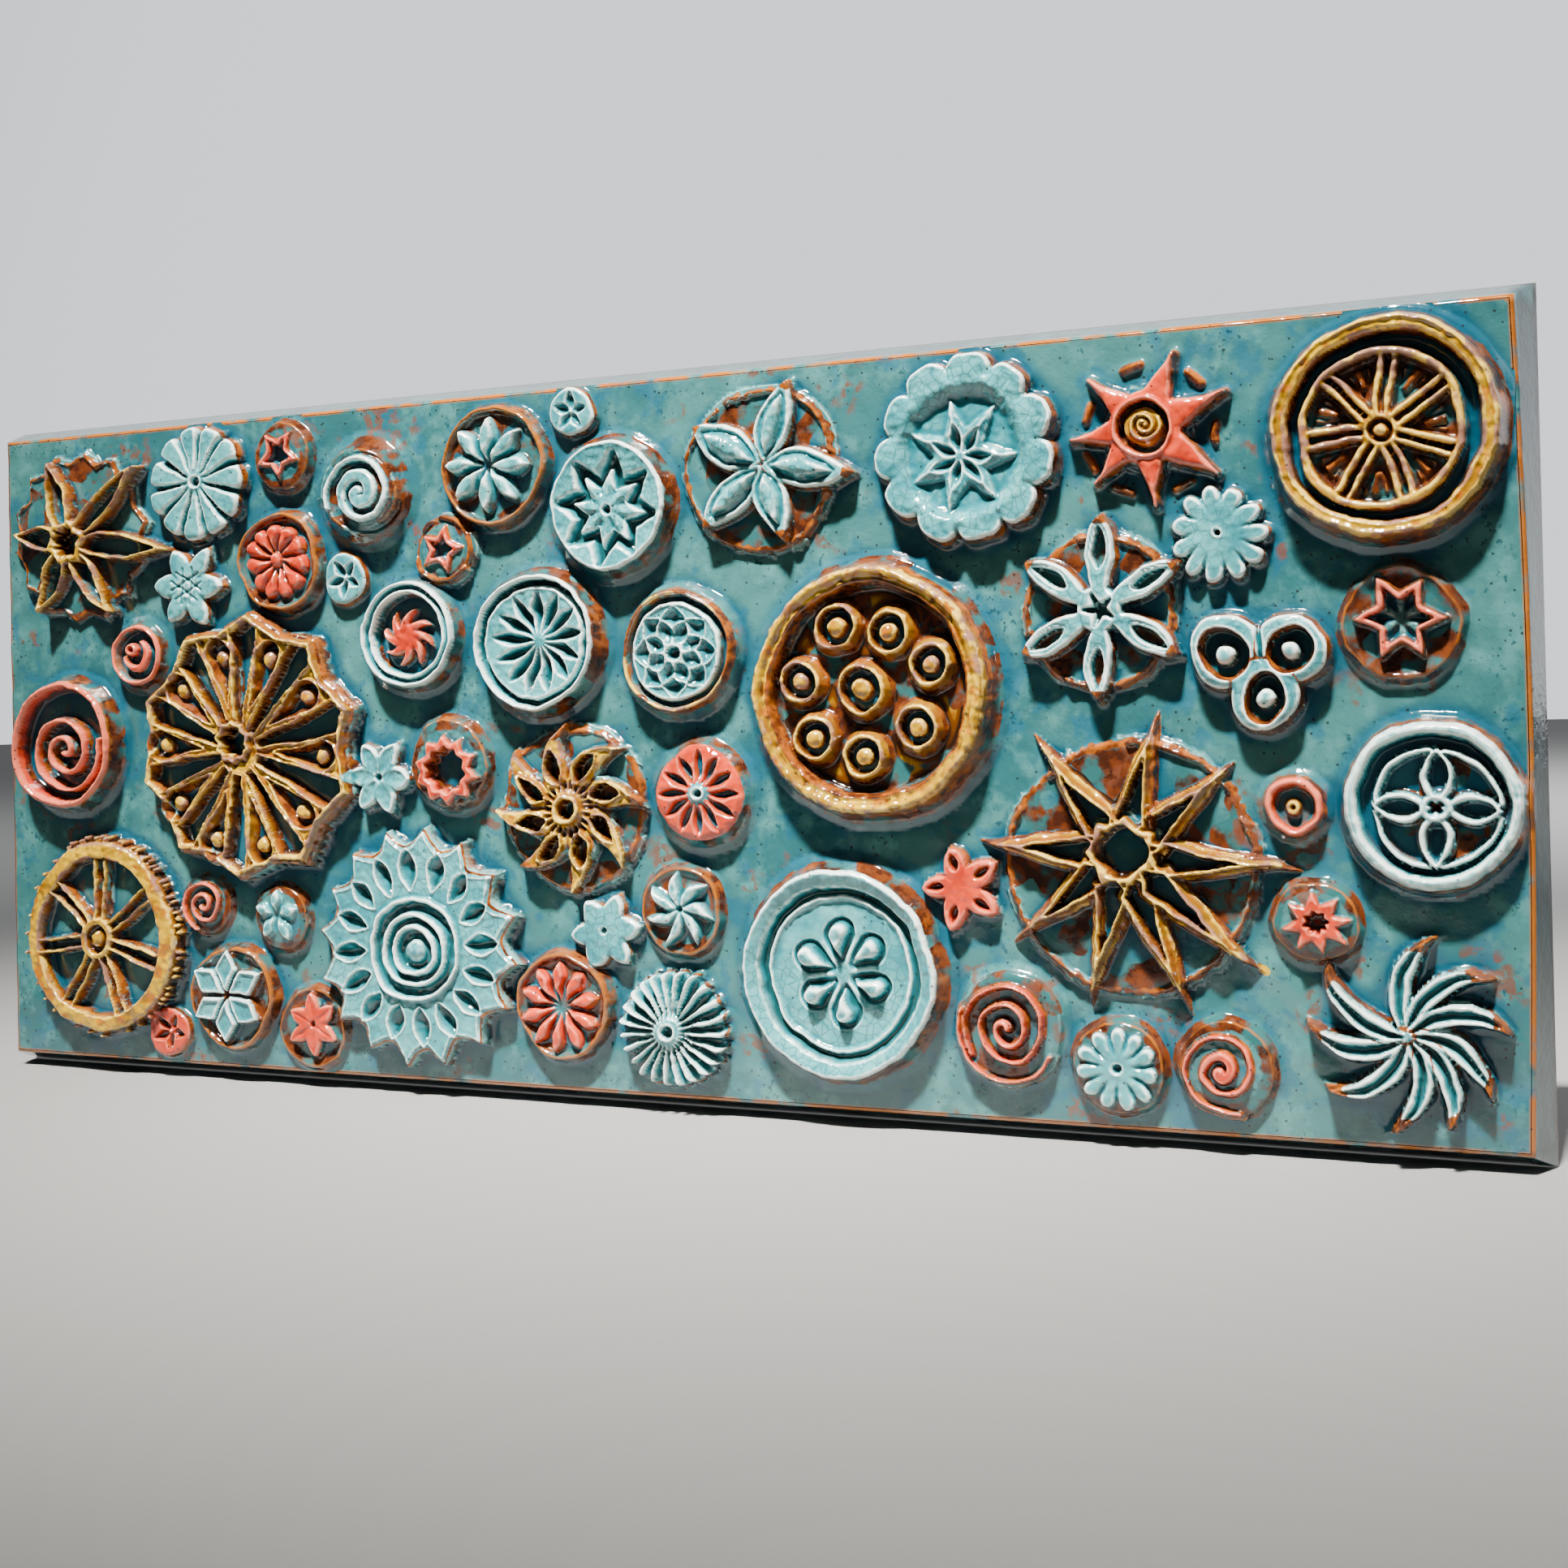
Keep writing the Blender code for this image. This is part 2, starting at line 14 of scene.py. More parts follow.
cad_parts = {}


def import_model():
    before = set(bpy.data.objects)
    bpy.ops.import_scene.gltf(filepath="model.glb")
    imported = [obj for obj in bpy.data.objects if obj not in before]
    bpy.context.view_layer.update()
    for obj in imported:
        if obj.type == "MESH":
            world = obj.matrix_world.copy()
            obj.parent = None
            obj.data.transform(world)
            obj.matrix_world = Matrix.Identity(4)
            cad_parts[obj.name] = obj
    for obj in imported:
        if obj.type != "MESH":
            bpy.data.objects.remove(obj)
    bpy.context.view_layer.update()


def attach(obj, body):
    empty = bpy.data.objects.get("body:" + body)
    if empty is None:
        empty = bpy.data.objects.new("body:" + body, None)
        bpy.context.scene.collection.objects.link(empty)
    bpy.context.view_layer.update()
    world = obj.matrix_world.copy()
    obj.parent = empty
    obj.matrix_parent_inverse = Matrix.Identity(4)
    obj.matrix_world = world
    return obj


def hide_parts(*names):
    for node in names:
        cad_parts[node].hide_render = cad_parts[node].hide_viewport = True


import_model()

# The slab, in millimetres
FACE_WIDTH = 467.0
FACE_HEIGHT = 200.0
SLAB = 12.0
SLANT = 4.0
RIGHT_BOW = 1.8
BEVEL = 1.2
HIGHEST = 8.95

# The height field, in millimetres
CELL = 0.2
MARGIN = 6.0
SOFTEN = 0.17
PAINT_SOFTEN = 0.15
# Crest, hollow and beside-medallion measures: their sizes and the values at which they are full. The glaze
# uses them for thin and pooled glaze, and also for painted highlights on crests and painted shade in
# hollows and beside medallions
CREST_SIZE, POOL_AND_SHADE_SIZE, BESIDE_POOL_AND_SHADE_SIZE = 0.5, 1.1, 3.2
CREST_FULL, POOL_AND_SHADE_FULL, BESIDE_POOL_AND_SHADE_FULL = 0.26, 0.8, 2.4
STEEPEST = 2.0
LOWEST = -0.6
FAR, BEHIND = 99.0, 50.0

# Medallions: how much their drawn sizes are taken down, the room round each for blurs, how far
# a foot runs past its outline, and what is added to a distance where a line is to end
SHRINK = 0.97
ROOM = 6
FOOT = 1.2
GONE = 9

# The meshes: how fine they are, how the medallions' skirts run into the slab and how far it dips
# under them
FINE_STEP = 0.445
COARSE_STEP = 1.1
SKIRT = 2.4
SKIRT_DIP = 0.5
LIFT = 0.03
HOLLOW = 0.9
SIDE_RINGS = 8

NAMES = ("coral", "gold", "pale", "brown", "rust")
CORAL, GOLD, PALE, BROWN, RUST, TEAL = range(6)

COLS = int(round((FACE_WIDTH + 2 * MARGIN) / CELL)) + 1
ROWS = int(round((FACE_HEIGHT + 2 * MARGIN) / CELL)) + 1

rng = np.random.default_rng(11)


def spectrum_filter(field, response):
    """The field filtered by a response to wave number, in waves per millimetre."""
    fu = np.fft.rfftfreq(field.shape[1], CELL)
    fv = np.fft.fftfreq(field.shape[0], CELL)
    wave = np.hypot(fv[:, None], fu[None, :])
    return np.fft.irfft2(np.fft.rfft2(field) * response(wave), s=field.shape)


def soften(field, sigma):
    """A Gaussian blur with sigma in millimetres."""
    return spectrum_filter(field, lambda wave: np.exp(-2 * (math.pi * sigma * wave) ** 2))


def noise(length):
    """Smooth random values of spread 1 that vary over about that many millimetres."""
    field = soften(rng.standard_normal((ROWS, COLS)), length / 4)
    return field / field.std()


# Coordinates, pulled about a little so that no line is dead straight or truly round
us = np.arange(COLS) * CELL - MARGIN
vs = np.arange(ROWS) * CELL - MARGIN
U = us[None, :] + 0.30 * noise(16) + 0.11 * noise(4.5)
V = vs[:, None] + 0.30 * noise(16) + 0.11 * noise(4.5)

height = np.zeros((ROWS, COLS))
paints = np.zeros((5, ROWS, COLS))
outside = np.full((ROWS, COLS), FAR)
owner = np.zeros((ROWS, COLS), int)
bumps = noise(2.2)
waves = noise(9)


def ramp(value, low, high):
    """0 at low, 1 at high, with soft ends."""
    t = np.clip((value - low) / (high - low), 0, 1)
    return t * t * (3 - 2 * t)


def inside(distance, soft):
    """1 inside an outline and 0 outside it."""
    return np.clip(0.5 - distance / soft, 0, 1)


def folded(angle, count, turn):
    """The angle from the nearest of count directions, in radians."""
    pitch = 2 * math.pi / count
    return (angle - math.radians(turn) + pitch / 2) % pitch - pitch / 2


class Medallion:
    """A window of the field about a centre, with what is built and painted there."""

    def __init__(self, number, u, v, reach):
        reach += ROOM
        left = max(int((u - reach + MARGIN) / CELL), 0)
        right = min(int((u + reach + MARGIN) / CELL) + 1, COLS)
        top = max(int((v - reach + MARGIN) / CELL), 0)
        bottom = min(int((v + reach + MARGIN) / CELL) + 1, ROWS)
        self.number = number
        self.window = (slice(top, bottom), slice(left, right))
        self.u = U[self.window]
        self.v = V[self.window]
        self.h = np.zeros(self.u.shape)
        self.out = np.full(self.u.shape, FAR)
        self.layers = paints[(slice(None), *self.window)]
        self.bumps = bumps[self.window]
        self.waves = waves[self.window]
        self.about(u, v)

    def about(self, u, v):
        """Measures from here on are taken about (u, v)."""
        self.place = (u, v)
        self.x = (self.u - u) / SHRINK
        self.y = (v - self.v) / SHRINK
        self.r = np.hypot(self.x, self.y)
        self.angle = np.arctan2(self.y, self.x)
        return self

    def beside(self, radius, degrees):
        """The place at that distance and direction from the centre."""
        dx, dy = spot_at(radius, degrees)
        return self.place[0] + dx, self.place[1] - dy

    def along(self, degrees):
        """How far out in a direction, and how far to its side."""
        c, s = math.cos(math.radians(degrees)), math.sin(math.radians(degrees))
        return self.x * c + self.y * s, self.y * c - self.x * s

    def side(self, count, turn):
        """0 in each of count directions and 1 midway between them."""
        return abs(folded(self.angle, count, turn)) / (math.pi / count)

    # Signed distances: negative inside

    def disc(self, radius, wobble=0.0, count=3, turn=0.0):
        """A round, or one with some slow waves in its edge."""
        return self.r - radius - wobble * np.cos(count * (self.angle - math.radians(turn)))

    def spot(self, dx, dy, radius, stretch=1.0, turn=0.0):
        """A small round or oval beside the centre."""
        c, s = math.cos(math.radians(turn)), math.sin(math.radians(turn))
        along = ((self.x - dx) * c + (self.y - dy) * s) / stretch
        across = -(self.x - dx) * s + (self.y - dy) * c
        return np.hypot(along, across) - radius

    def star(self, count, outer, inner, turn):
        """A star with straight sides."""
        side = abs(folded(self.angle, count, turn))
        px, py = self.r * np.cos(side), self.r * np.sin(side)
        half = math.pi / count
        bx, by = inner * math.cos(half), inner * math.sin(half)
        ex, ey = bx - outer, by
        t = np.clip(((px - outer) * ex + py * ey) / (ex * ex + ey * ey), 0, 1)
        far = np.hypot(px - outer - ex * t, py - ey * t)
        return np.where((px - outer) * ey - py * ex > 0, far, -far)

    def scallops(self, count, radius, depth, turn, power=0.5):
        """A round with lobes in its edge."""
        return self.r - radius + depth * self.side(count, turn) ** (1 / power)

    def petal(self, direction, start, end, bend, count):
        """The turn from the middle of petals from the radius start to end, and how far across it is.

        With a count they are repeated round the centre. What lies behind one is far off.
        """
        self.t = (self.r - start) / (end - start)
        lean = math.radians(bend) * np.clip(self.t, 0, 1.3) ** 1.6
        off = folded(self.angle - lean, count or 1, direction)
        across = self.r * np.sin(np.clip(off, -1.5, 1.5))
        return off, np.where(abs(off) > 1.5, BEHIND, across)

    def leaf(self, direction, start, end, width, widest=0.45, blunt=0.9, count=0, bend=0.0):
        """Petals that taper at both ends. Where across and along them is kept in across and t."""
        _, across = self.petal(direction, start, end, bend, count)
        within = np.clip(self.t, 0.001, 0.999)
        if blunt:
            power = math.log(0.5) / math.log(widest)
            half = width / 2 * np.sin(math.pi * within**power) ** blunt
        else:
            half = width / 2 * np.minimum(within / widest, (1 - within) / (1 - widest))
        gap = abs(across) - half
        past = np.maximum(start - self.r, self.r - end)
        self.across = np.clip(across / np.maximum(half, 0.05), -1, 1)
        return np.where(past > 0, np.hypot(past, abs(across)), gap * 0.93)

    def drop(self, direction, start, end, width, count):
        """Petals with a pointed root and a round end. Where across them is kept in across."""
        off, across = self.petal(direction, start, end, 0.0, count)
        radius = width / 2
        middle = end - radius
        share = (self.r - start) / (middle - start)
        rounded = np.hypot(self.r * np.cos(off) - middle, across) - radius
        taper = abs(across) - radius * np.clip(share, 0, 1)
        straight = np.where(self.r < start, np.hypot(start - self.r, across), taper * 0.95)
        self.across = np.clip(across / np.maximum(radius * np.clip(share, 0.05, 1), 0.1), -1, 1)
        return np.where(self.r * np.cos(off) < middle, straight, rounded)

    def path(self, points):
        """Distance to a line through (dx, dy) points, and the share along it."""
        best = np.full(self.x.shape, 1e9)
        share = np.zeros(self.x.shape)
        last = len(points) - 1
        for i, ((ax, ay), (bx, by)) in enumerate(zip(points, points[1:])):
            ex, ey = bx - ax, by - ay
            t = np.clip(((self.x - ax) * ex + (self.y - ay) * ey) / (ex * ex + ey * ey), 0, 1)
            far = np.hypot(self.x - ax - ex * t, self.y - ay - ey * t)
            nearer = far < best
            best = np.where(nearer, far, best)
            share = np.where(nearer, (i + t) / last, share)
        return best, share

    def spiral(self, outer, inner, turns, start):
        """Distance to a spiral line that winds inwards clockwise, and the share from its outer end."""
        points = []
        count = int(turns * 26)
        for i in range(count + 1):
            share = i / count
            points.append(spot_at(outer + (inner - outer) * share**0.92, start - 360 * turns * share))
        return self.path(points)

    # Building

    def mesa(self, distance, top, wall, bevel=0.8, foot=2.0, base=0.0):
        """A flat form with a soft edge, a slanting wall and a filleted foot."""
        rise = top - base
        far = [-bevel, -0.5 * bevel, 0.0, 0.3 * wall, wall, wall + 0.35 * foot, wall + foot]
        drop_by = 0.32 * min(bevel, rise)
        levels = [rise, rise - 0.25 * drop_by, rise - drop_by, 0.76 * rise, 0.16 * rise, 0.05 * rise, 0.0]
        form = base + np.interp(distance, far, levels)
        self.h = np.where(distance < wall + foot, np.maximum(self.h, form), self.h)
        if base == 0.0:
            self.out = np.minimum(self.out, distance - wall)
        return self

    def turned(self, pairs):
        """A turned form from (radius, height) pairs, from the middle out to its foot."""
        radii = [radius for radius, _ in pairs]
        self.h = np.maximum(self.h, np.interp(self.r, radii, [level for _, level in pairs]))
        self.out = np.minimum(self.out, self.r - radii[-1] + FOOT)
        return self

    def profile(self, distance, far, levels):
        """A form whose section is given from its foot inwards."""
        self.h = np.maximum(self.h, np.interp(distance, far[::-1], levels[::-1]))
        self.out = np.minimum(self.out, distance - far[0] + FOOT)
        return self

    def sink(self, distance, floor, wall):
        """A flat-bottomed pocket."""
        t = ramp(distance, -0.3 * wall, 0.7 * wall)
        self.h = np.where((distance < wall) & (self.h > floor), floor + (self.h - floor) * t, self.h)
        return self

    def press(self, distance, depth, slope, power=0.8):
        """A dent that is deepest far from its edge."""
        self.h -= depth * np.clip(-distance / slope, 0, 1) ** power
        return self

    def score(self, far, width, depth):
        """A V-shaped groove along a line."""
        self.h -= depth * np.clip(1 - far / (width / 2), 0, 1)
        return self

    def swell(self, distance, top, base, sharp=0.5):
        """The last petals as pillows, highest along their middle."""
        crown = np.clip(1 - self.across**2, 0, 1) ** sharp
        form = base + (top - base) * crown * ramp(-distance, -0.2, 1.3)
        self.h = np.where(distance < 0.2, np.maximum(self.h, form), self.h)
        return self

    def bead(self, radius, top):
        """A ball in the middle."""
        distance = self.disc(radius)
        dome = np.sqrt(np.clip(1 - np.clip((distance + radius) / radius, 0, 1) ** 2, 0, 1))
        form = top - radius * 0.95 + radius * 0.95 * dome
        self.h = np.where(distance < 0, np.maximum(self.h, form), self.h)
        return self

    def cord(self, far, half, top, wall, base=0.0):
        """A raised band of round section along a line."""
        crown = top - 0.6 * half * np.clip(far / half, 0, 1) ** 2
        fall = np.interp(far - half, [0, 0.35 * wall, wall, wall + 1.0], [1, 0.62, 0.12, 0])
        form = np.where(far < half, crown, base + (top - 0.6 * half - base) * fall)
        self.h = np.where(far < half + wall + 1, np.maximum(self.h, form), self.h)
        if base == 0.0:
            self.out = np.minimum(self.out, far - half - wall)
        return self

    def well(self, radius, floor, wall):
        """A round pocket in the middle."""
        return self.sink(self.disc(radius), floor, wall)

    def hoop(self, radius, *band):
        """A round raised band about the middle."""
        return self.cord(abs(self.r - radius), *band)

    # Glaze

    def glaze(self, colour, distance, soft=0.5):
        """Covers what is inside the outline with one glaze."""
        return self.tint(colour, inside(distance, soft))

    def tint(self, colour, weight):
        """Covers a share of what is there with one glaze."""
        share = abs(weight)
        self.layers *= 1 - share
        if colour != TEAL:
            self.layers[colour] += np.maximum(weight, 0)
        return self

    def round(self, colour, radius, soft=0.5):
        """Covers a round about the middle with one glaze."""
        return self.glaze(colour, self.disc(radius), soft)

    def patchy(self, colour, distance, soft, over, low, high, weight=1.0):
        """Covers what is inside the outline with one glaze where a value rises from low to high."""
        return self.tint(colour, weight * inside(distance, soft) * ramp(over, low, high))

    def lined(self, colour, distance, rust, grow, soft=0.5, firm=0.5):
        """Covers what is inside the outline with one glaze, and rust round it."""
        return self.glaze(RUST, distance - rust, soft).glaze(colour, distance - grow, firm)

    def done(self, ripple=0.05):
        """Ruffles the medallion and adds it to the whole field."""
        self.h += 1.5 * ripple * self.bumps * ramp(self.h, 1.8, 4.2)
        whole = height[self.window]
        np.maximum(whole, self.h, out=whole)
        near = self.out < outside[self.window]
        owner[self.window] = np.where(near, self.number, owner[self.window])
        outside[self.window] = np.minimum(outside[self.window], self.out)


def spot_at(radius, degrees):
    angle = math.radians(degrees)
    return radius * math.cos(angle), radius * math.sin(angle)


# Families of medallions


def low_disc(m, radius, top, rim, teeth=0):
    """A low rough disc whose edge stands up as a thin broken line."""
    edge = m.scallops(teeth, radius, 3.4, 8, 1.3) if teeth else m.disc(radius, 0.4, 3, 40)
    m.mesa(edge, top, 0.7, 0.3, 1.4)
    line = abs(edge + 0.7) - 0.1 * m.bumps + 2.2 * ramp(m.waves, 0.4, 1.0)
    m.cord(line, 0.45, top + rim, wall=0.7, base=top - 0.6)
    m.patchy(BROWN, edge, 0.6, m.waves, -0.6, 0.5, 0.8)
    m.glaze(RUST, abs(edge + 0.3) - 0.8 - 0.3 * m.bumps)


def plate(m, radius, rim, floor):
    """A disc with a thin standing rim and a sunk floor."""
    wobble = m.disc(radius, 0.3, 3, m.place[0] * 7)
    levels = [0.0, rim * 0.16, rim * 0.62, rim - 0.25, rim, rim - 0.5, floor + 0.25, floor, floor + 0.2]
    m.profile(wobble, [2.4, 1.3, 0.5, -0.1, -0.6, -1.2, -2.0, -3.2, -radius], levels)
    m.glaze(BROWN, wobble - 1.4, 1.2)
    m.patchy(BROWN, wobble + 2.6, 1.6, -m.waves, -0.6, 0.8, -0.8)
    m.glaze(RUST, abs(wobble + 0.55) - 0.05)


def dome(m, radius, edge, top):
    """A low dome, teal on top and rusty down its sides."""
    t = np.linspace(0, 1, 9)
    profile = [(radius * s * 0.94, top - (top - edge) * s**2.6) for s in t]
    m.turned([*profile, (radius + 0.2, edge * 0.45), (radius + 1.2, edge * 0.12), (radius + 2.6, 0)])
    m.patchy(BROWN, m.r - radius - 1.0, 1.4, m.r, radius * 0.55, radius * 0.95, 0.9)


def slits(m, radius, turn, colour):
    """A small disc with five slits that meet in its middle."""
    flanked(m, m.disc(radius, 0.25, 3), 3, 1.2, colour, 0.9)
    leaf = m.leaf(turn, 0.4, radius * 0.84, radius * 0.44, count=5)
    m.press(leaf, 2.0, 0.8)


def flanked(m, edge, top, wall, colour, bevel, foot=1.8, base=0.0):
    """A flat form of one colour whose flank breaks rusty."""
    m.mesa(edge, top, wall, bevel, foot, base)
    m.glaze(RUST, edge - 0.75 * wall, 0.8)
    m.glaze(colour, edge - 0.25)


def hollow_star(m, count, outer, inner, turn, top, floor, width):
    """A coral star that is only its outline, standing up."""
    edge = m.star(count, outer, inner, turn)
    m.mesa(edge, top, 0.7, 0.4, 0.9, floor - 1.0)
    m.sink(edge + width, floor, 0.5)
    m.lined(CORAL, edge, 0.6, 0.1, 0.5, 0.4)
    m.glaze(TEAL, edge + width - 0.1, 0.4)


def loops(m, arms, width, line, top, colour, start, widest, blunt=0.95):
    """Leaves that are only their outlines: two ridges that part and meet again at the tip."""
    middles = np.full(m.r.shape, FAR)
    for direction, reach in arms:
        leaf = m.leaf(direction, start, reach, width, widest, blunt)
        ridge = abs(leaf + line / 2) - 0.25 * line * (m.t > 0.93)
        m.cord(ridge, line / 2, top * (1 + 0.035 * m.waves), wall=0.6)
        m.lined(colour, ridge - line / 2, 0.7, 0.3, 0.6)
        middles = np.minimum(middles, leaf + line + 0.3)
    m.glaze(TEAL, middles - 0.1)


def spokes(m, turn, gap, spread, start, end):
    """Each ridge of seven double spokes, from the radius start to end, and how far out along it is."""
    for i in range(7):
        along, across = m.along(turn + 360 / 7 * i)
        past = GONE * ((along < start) | (along > end))
        for side in (-1, 1):
            yield abs(across - side * (gap + along / spread)) + past, along


# The medallions, numbered from the top left


# Star of six unequal open leaves on a low toothed disc
m = Medallion(1, 32, 34, 44)
low_disc(m.about(33, 33.3), 28.6, 2, 0.9, teeth=14)
m.about(31.3, 35.3)
arms = ((-5, 41), (39, 37), (105, 28), (169, 23), (239, 26), (306, 28.5))
loops(m, arms, 8.6, 1, 7, GOLD, 3, 0.4)
ring = abs(m.star(6, 7.4, 5.6, 15))
m.cord(ring, 1, 7.2, 0.9).glaze(GOLD, ring - 1.4).sink(m.star(5, 5.2, 3.8, 20), 1.4, 0.9)
m.done(0.1)

# Daisy
m = Medallion(2, 82.8, 19.2, 20)
side = m.side(11, 101)
edge = m.r - 17.8 * (1 - 0.16 * side**4)
flanked(m, edge, 5.1, 1.1, PALE, 1.9)
m.h -= 2.6 * ramp(side, 0.62, 1) * ramp(m.r, 1.8, 6) * (edge < 0.6)
m.hoop(2.3, 0.6, 5.4, 0.6, 3.6).well(1.5, 2, 0.4)
m.done(0.04)

# Dome with a five-pointed hollow star
m = Medallion(3, 114.6, 13, 13)
dome(m, 10.8, 3.2, 4.2)
hollow_star(m.about(114.1, 12.5), 5, 8, 4.2, -90, 5.1, 2.2, 1.5)
m.done(0.06)

# Small flower of six petals, crossed by lines
m = Medallion(13, 78, 51.2, 16)
leaf = m.leaf(-4, -3, 13.6, 6.8, 0.66, 0.75, 6)
flanked(m, np.minimum(leaf, m.disc(5.4)), 4.2, 1, PALE, 1.7)
for turn in (26, 86, 146):
    _, across = m.along(turn)
    for side in (-1, 1):
        m.score(abs(across - 1.7 * side) + GONE * (m.r > 6.4), 1, 1)
m.done()

# Plate with eleven drop-shaped petals
m = Medallion(12, 113.2, 45, 18)
plate(m, 15.2, 4.9, 2.7)
m.about(112.6, 45)
petal = m.drop(93, 2.2, 12, 5.9, 11)
m.swell(petal + 0.1, 5.2, 3.6, 0.5).glaze(CORAL, petal - 0.2, 0.4)
m.bead(2.4, 5.3).round(CORAL, 2.4)
m.done()

# Ring with a crescent and a small ring
m = Medallion(16, 57, 71.8, 13)
m.turned([(0, 1.4), (7.6, 1.5), (8.2, 3.2), (8.7, 4.6), (9.4, 4.8), (10, 3.9), (10.9, 1.3), (13, 0)])
m.round(BROWN, 11.4, 1.2).round(CORAL, 10).round(TEAL, 8.5)
points = [(-0.2 + 4.6 * math.cos(math.radians(a)), 0.2 + 4.9 * math.sin(math.radians(a)))
          for a in range(56, -170, -14)]
far, share = m.path(points)
half = 0.3 + 0.8 * np.sin(math.pi * np.clip(share, 0.02, 0.98)) ** 0.7
m.cord(far - half + 0.7, 0.7, 4.4, 0.7, 1).glaze(CORAL, far - half - 0.2, 0.4)
ring = abs(m.spot(-1.7, 1.9, 1.5, 1.2, 0))
m.cord(ring, 0.6, 4.4, 0.6, 1).glaze(CORAL, ring - 0.9, 0.4)
m.done()

# Big coil in a ring
m = Medallion(25, 27.8, 99.8, 25)
m.turned([(0, 1.8), (17.4, 1.9), (18.2, 4), (18.9, 7.2), (19.8, 8.1), (20.8, 7.2), (21.8, 3.4),
          (22.6, 1.3), (24.8, 0)])
m.patchy(BROWN, m.r - 23.2, 1, m.waves, -0.6, 0.8).round(CORAL, 20.9, 0.7)
m.patchy(RUST, m.disc(18.4), 0.6, m.waves, 0.2, 0.9, 0.8).round(TEAL, 17.6, 0.6)
m.about(28.8, 101.4)
far, share = m.spiral(15.2, 1.2, 2.3, 12)
m.cord(far, 0.6 + 0.3 * share, 7.2, 0.6, 1.4).lined(CORAL, far, 1.25, 0.85, 0.6)
m.done(0.06)

# Open rosette: ten drops with a ball and ten slots between them
m = Medallion(26, 101, 101.1, 44)
edge = m.star(10, 41.4, 36.4, 86.8)
m.mesa(edge, 5.9, 1.3, 0.5, 1.8)
m.patchy(BROWN, edge - 2, 0.8, m.waves, -1, 0)
m.lined(GOLD, edge, 1.2, 0.4, 0.8, 0.6)
m.cord(abs(edge + 0.7), 0.4, 7.5, 0.9, 5)
m.about(99.2, 102.2)
slot = m.r * abs(folded(m.angle, 10, 86.8)) - 0.115 * m.r
slot = np.maximum(np.maximum(slot, 8 - m.r), edge + 2.2)
pocket = m.drop(104.8, 13.5, 36.2, 9.6, 10)
m.cord(abs(slot - 0.5), 0.3, 7.5, 0.9, 5)
m.cord(abs(pocket - 0.2), 0.25, 6.8, 0.7, 5)
m.press(pocket, 3.2, 2, 0.8)
m.patchy(RUST, pocket, 0.6, m.waves, -0.5, 0.4, 0.8).glaze(TEAL, pocket + 1.7, 0.9)
m.sink(slot, 2, 1)
m.patchy(RUST, slot - 0.2, 0.5, -m.waves, -0.5, 0.4, 0.9).glaze(TEAL, slot + 0.5)
for i in range(10):
    m.about(99.2, 102.2).about(*m.beside(29.4, 104.8 + 36 * i))
    m.bead(2.8, 6).round(GOLD, 3)
m.about(97.2, 99.6)
m.sink(m.star(10, 7.6, 6.4, 20), 5.4, 0.8)
ring = abs(m.star(10, 6.4, 5.2, 20))
m.cord(ring, 0.6, 7.4, 0.6, 2).glaze(GOLD, ring - 1.1)
m.sink(m.star(7, 4.9, 3.9, 10), 0.6, 0.7).round(TEAL, 3.9, 0.6)
m.done(0.1)

# Wheel with seven double spokes and a wide flat rim with a beaded edge
m = Medallion(34, 41.6, 160.6, 35)
m.turned([(0, 1.7), (24.6, 1.8), (25.3, 5), (25.9, 6.7), (27, 6.6), (29.8, 6.4), (30.6, 5.6),
          (31.2, 2.4), (31.9, 1), (33.8, 0)])
m.round(BROWN, 32.2, 0.7).round(GOLD, 31.8, 0.6).round(TEAL, 25, 0.6)
for i in range(100):
    if (i * 7) % 11 > (2 if i < 34 or i > 86 else 7):
        m.about(41.6, 160.6).about(*m.beside(30.9 + 0.3 * math.sin(i * 2.3), i * 3.6))
        m.bead(0.8, 5.4 + 0.4 * math.sin(i * 1.7)).round(GOLD, 0.9)
m.about(40.8, 160.9)
for bar, _ in spokes(m, 86, 1.3, 26, 4, 25.5):
    m.cord(bar, 0.45, 6.3, 0.5, 0.9).lined(GOLD, bar, 0.95, 0.5, 0.5, 0.4)
m.mesa(m.disc(6.6), 6.5, 0.7, 0.5, base=1).round(GOLD, 7.1, 0.6)
m.well(4.4, 4.4, 0.5).bead(2.9, 7)
m.done(0.1)

# Small coil
m = Medallion(35, 82.2, 149.8, 12)
dome(m, 9.6, 2, 2.3)
far, share = m.spiral(8.6, 0.8, 2.1, 250)
m.cord(far, 0.4 + 0.2 * share, 4.7, 0.55, 1.6).lined(CORAL, far, 1.05, 0.6, 0.5, 0.4)
m.done()

# Small dome with a flower of five petals
m = Medallion(36, 111, 152.8, 13)
dome(m, 10.2, 2.8, 3.8)
m.about(110.5, 152.4)
leaf = m.leaf(90, 0.8, 8.2, 5, 0.6, 0.8, 5)
m.swell(leaf, 5.4, 3.8).glaze(PALE, leaf, 0.4)
m.done()

# Plate with six facetted kites
m = Medallion(37, 92.4, 177.8, 18)
plate(m, 16, 4.5, 2.5)
m.about(91.4, 177)
leaf = m.leaf(90, 1.4, 14.6, 8, 0.6, 0, 6)
m.mesa(leaf, 5.9, 0.7, 0.3, 0.8, 2).press(leaf + 0.75, 0.75, 0.8)
m.glaze(PALE, leaf - 0.2, 0.4)
m.done()

# Small disc with five slits
m = Medallion(38, 66.4, 189.4, 9)
slits(m, 7.7, 60, CORAL)
m.done()

# Small plate with a six-petalled star
m = Medallion(39, 122, 185.6, 14)
plate(m, 12.4, 2.6, 1.3)
m.about(122.7, 184.4)
leaf = m.leaf(95, 0.4, 9.8, 5.2, 0.52, 0.8, 6)
m.mesa(leaf, 4.4, 0.8, 0.8, 1, 0.8).glaze(CORAL, leaf - 0.2, 0.4)
m.score(abs(m.across) * 2.4 + GONE * (leaf > -0.3), 1.1, 0.7).well(0.8, 2.8, 0.4)
m.done()

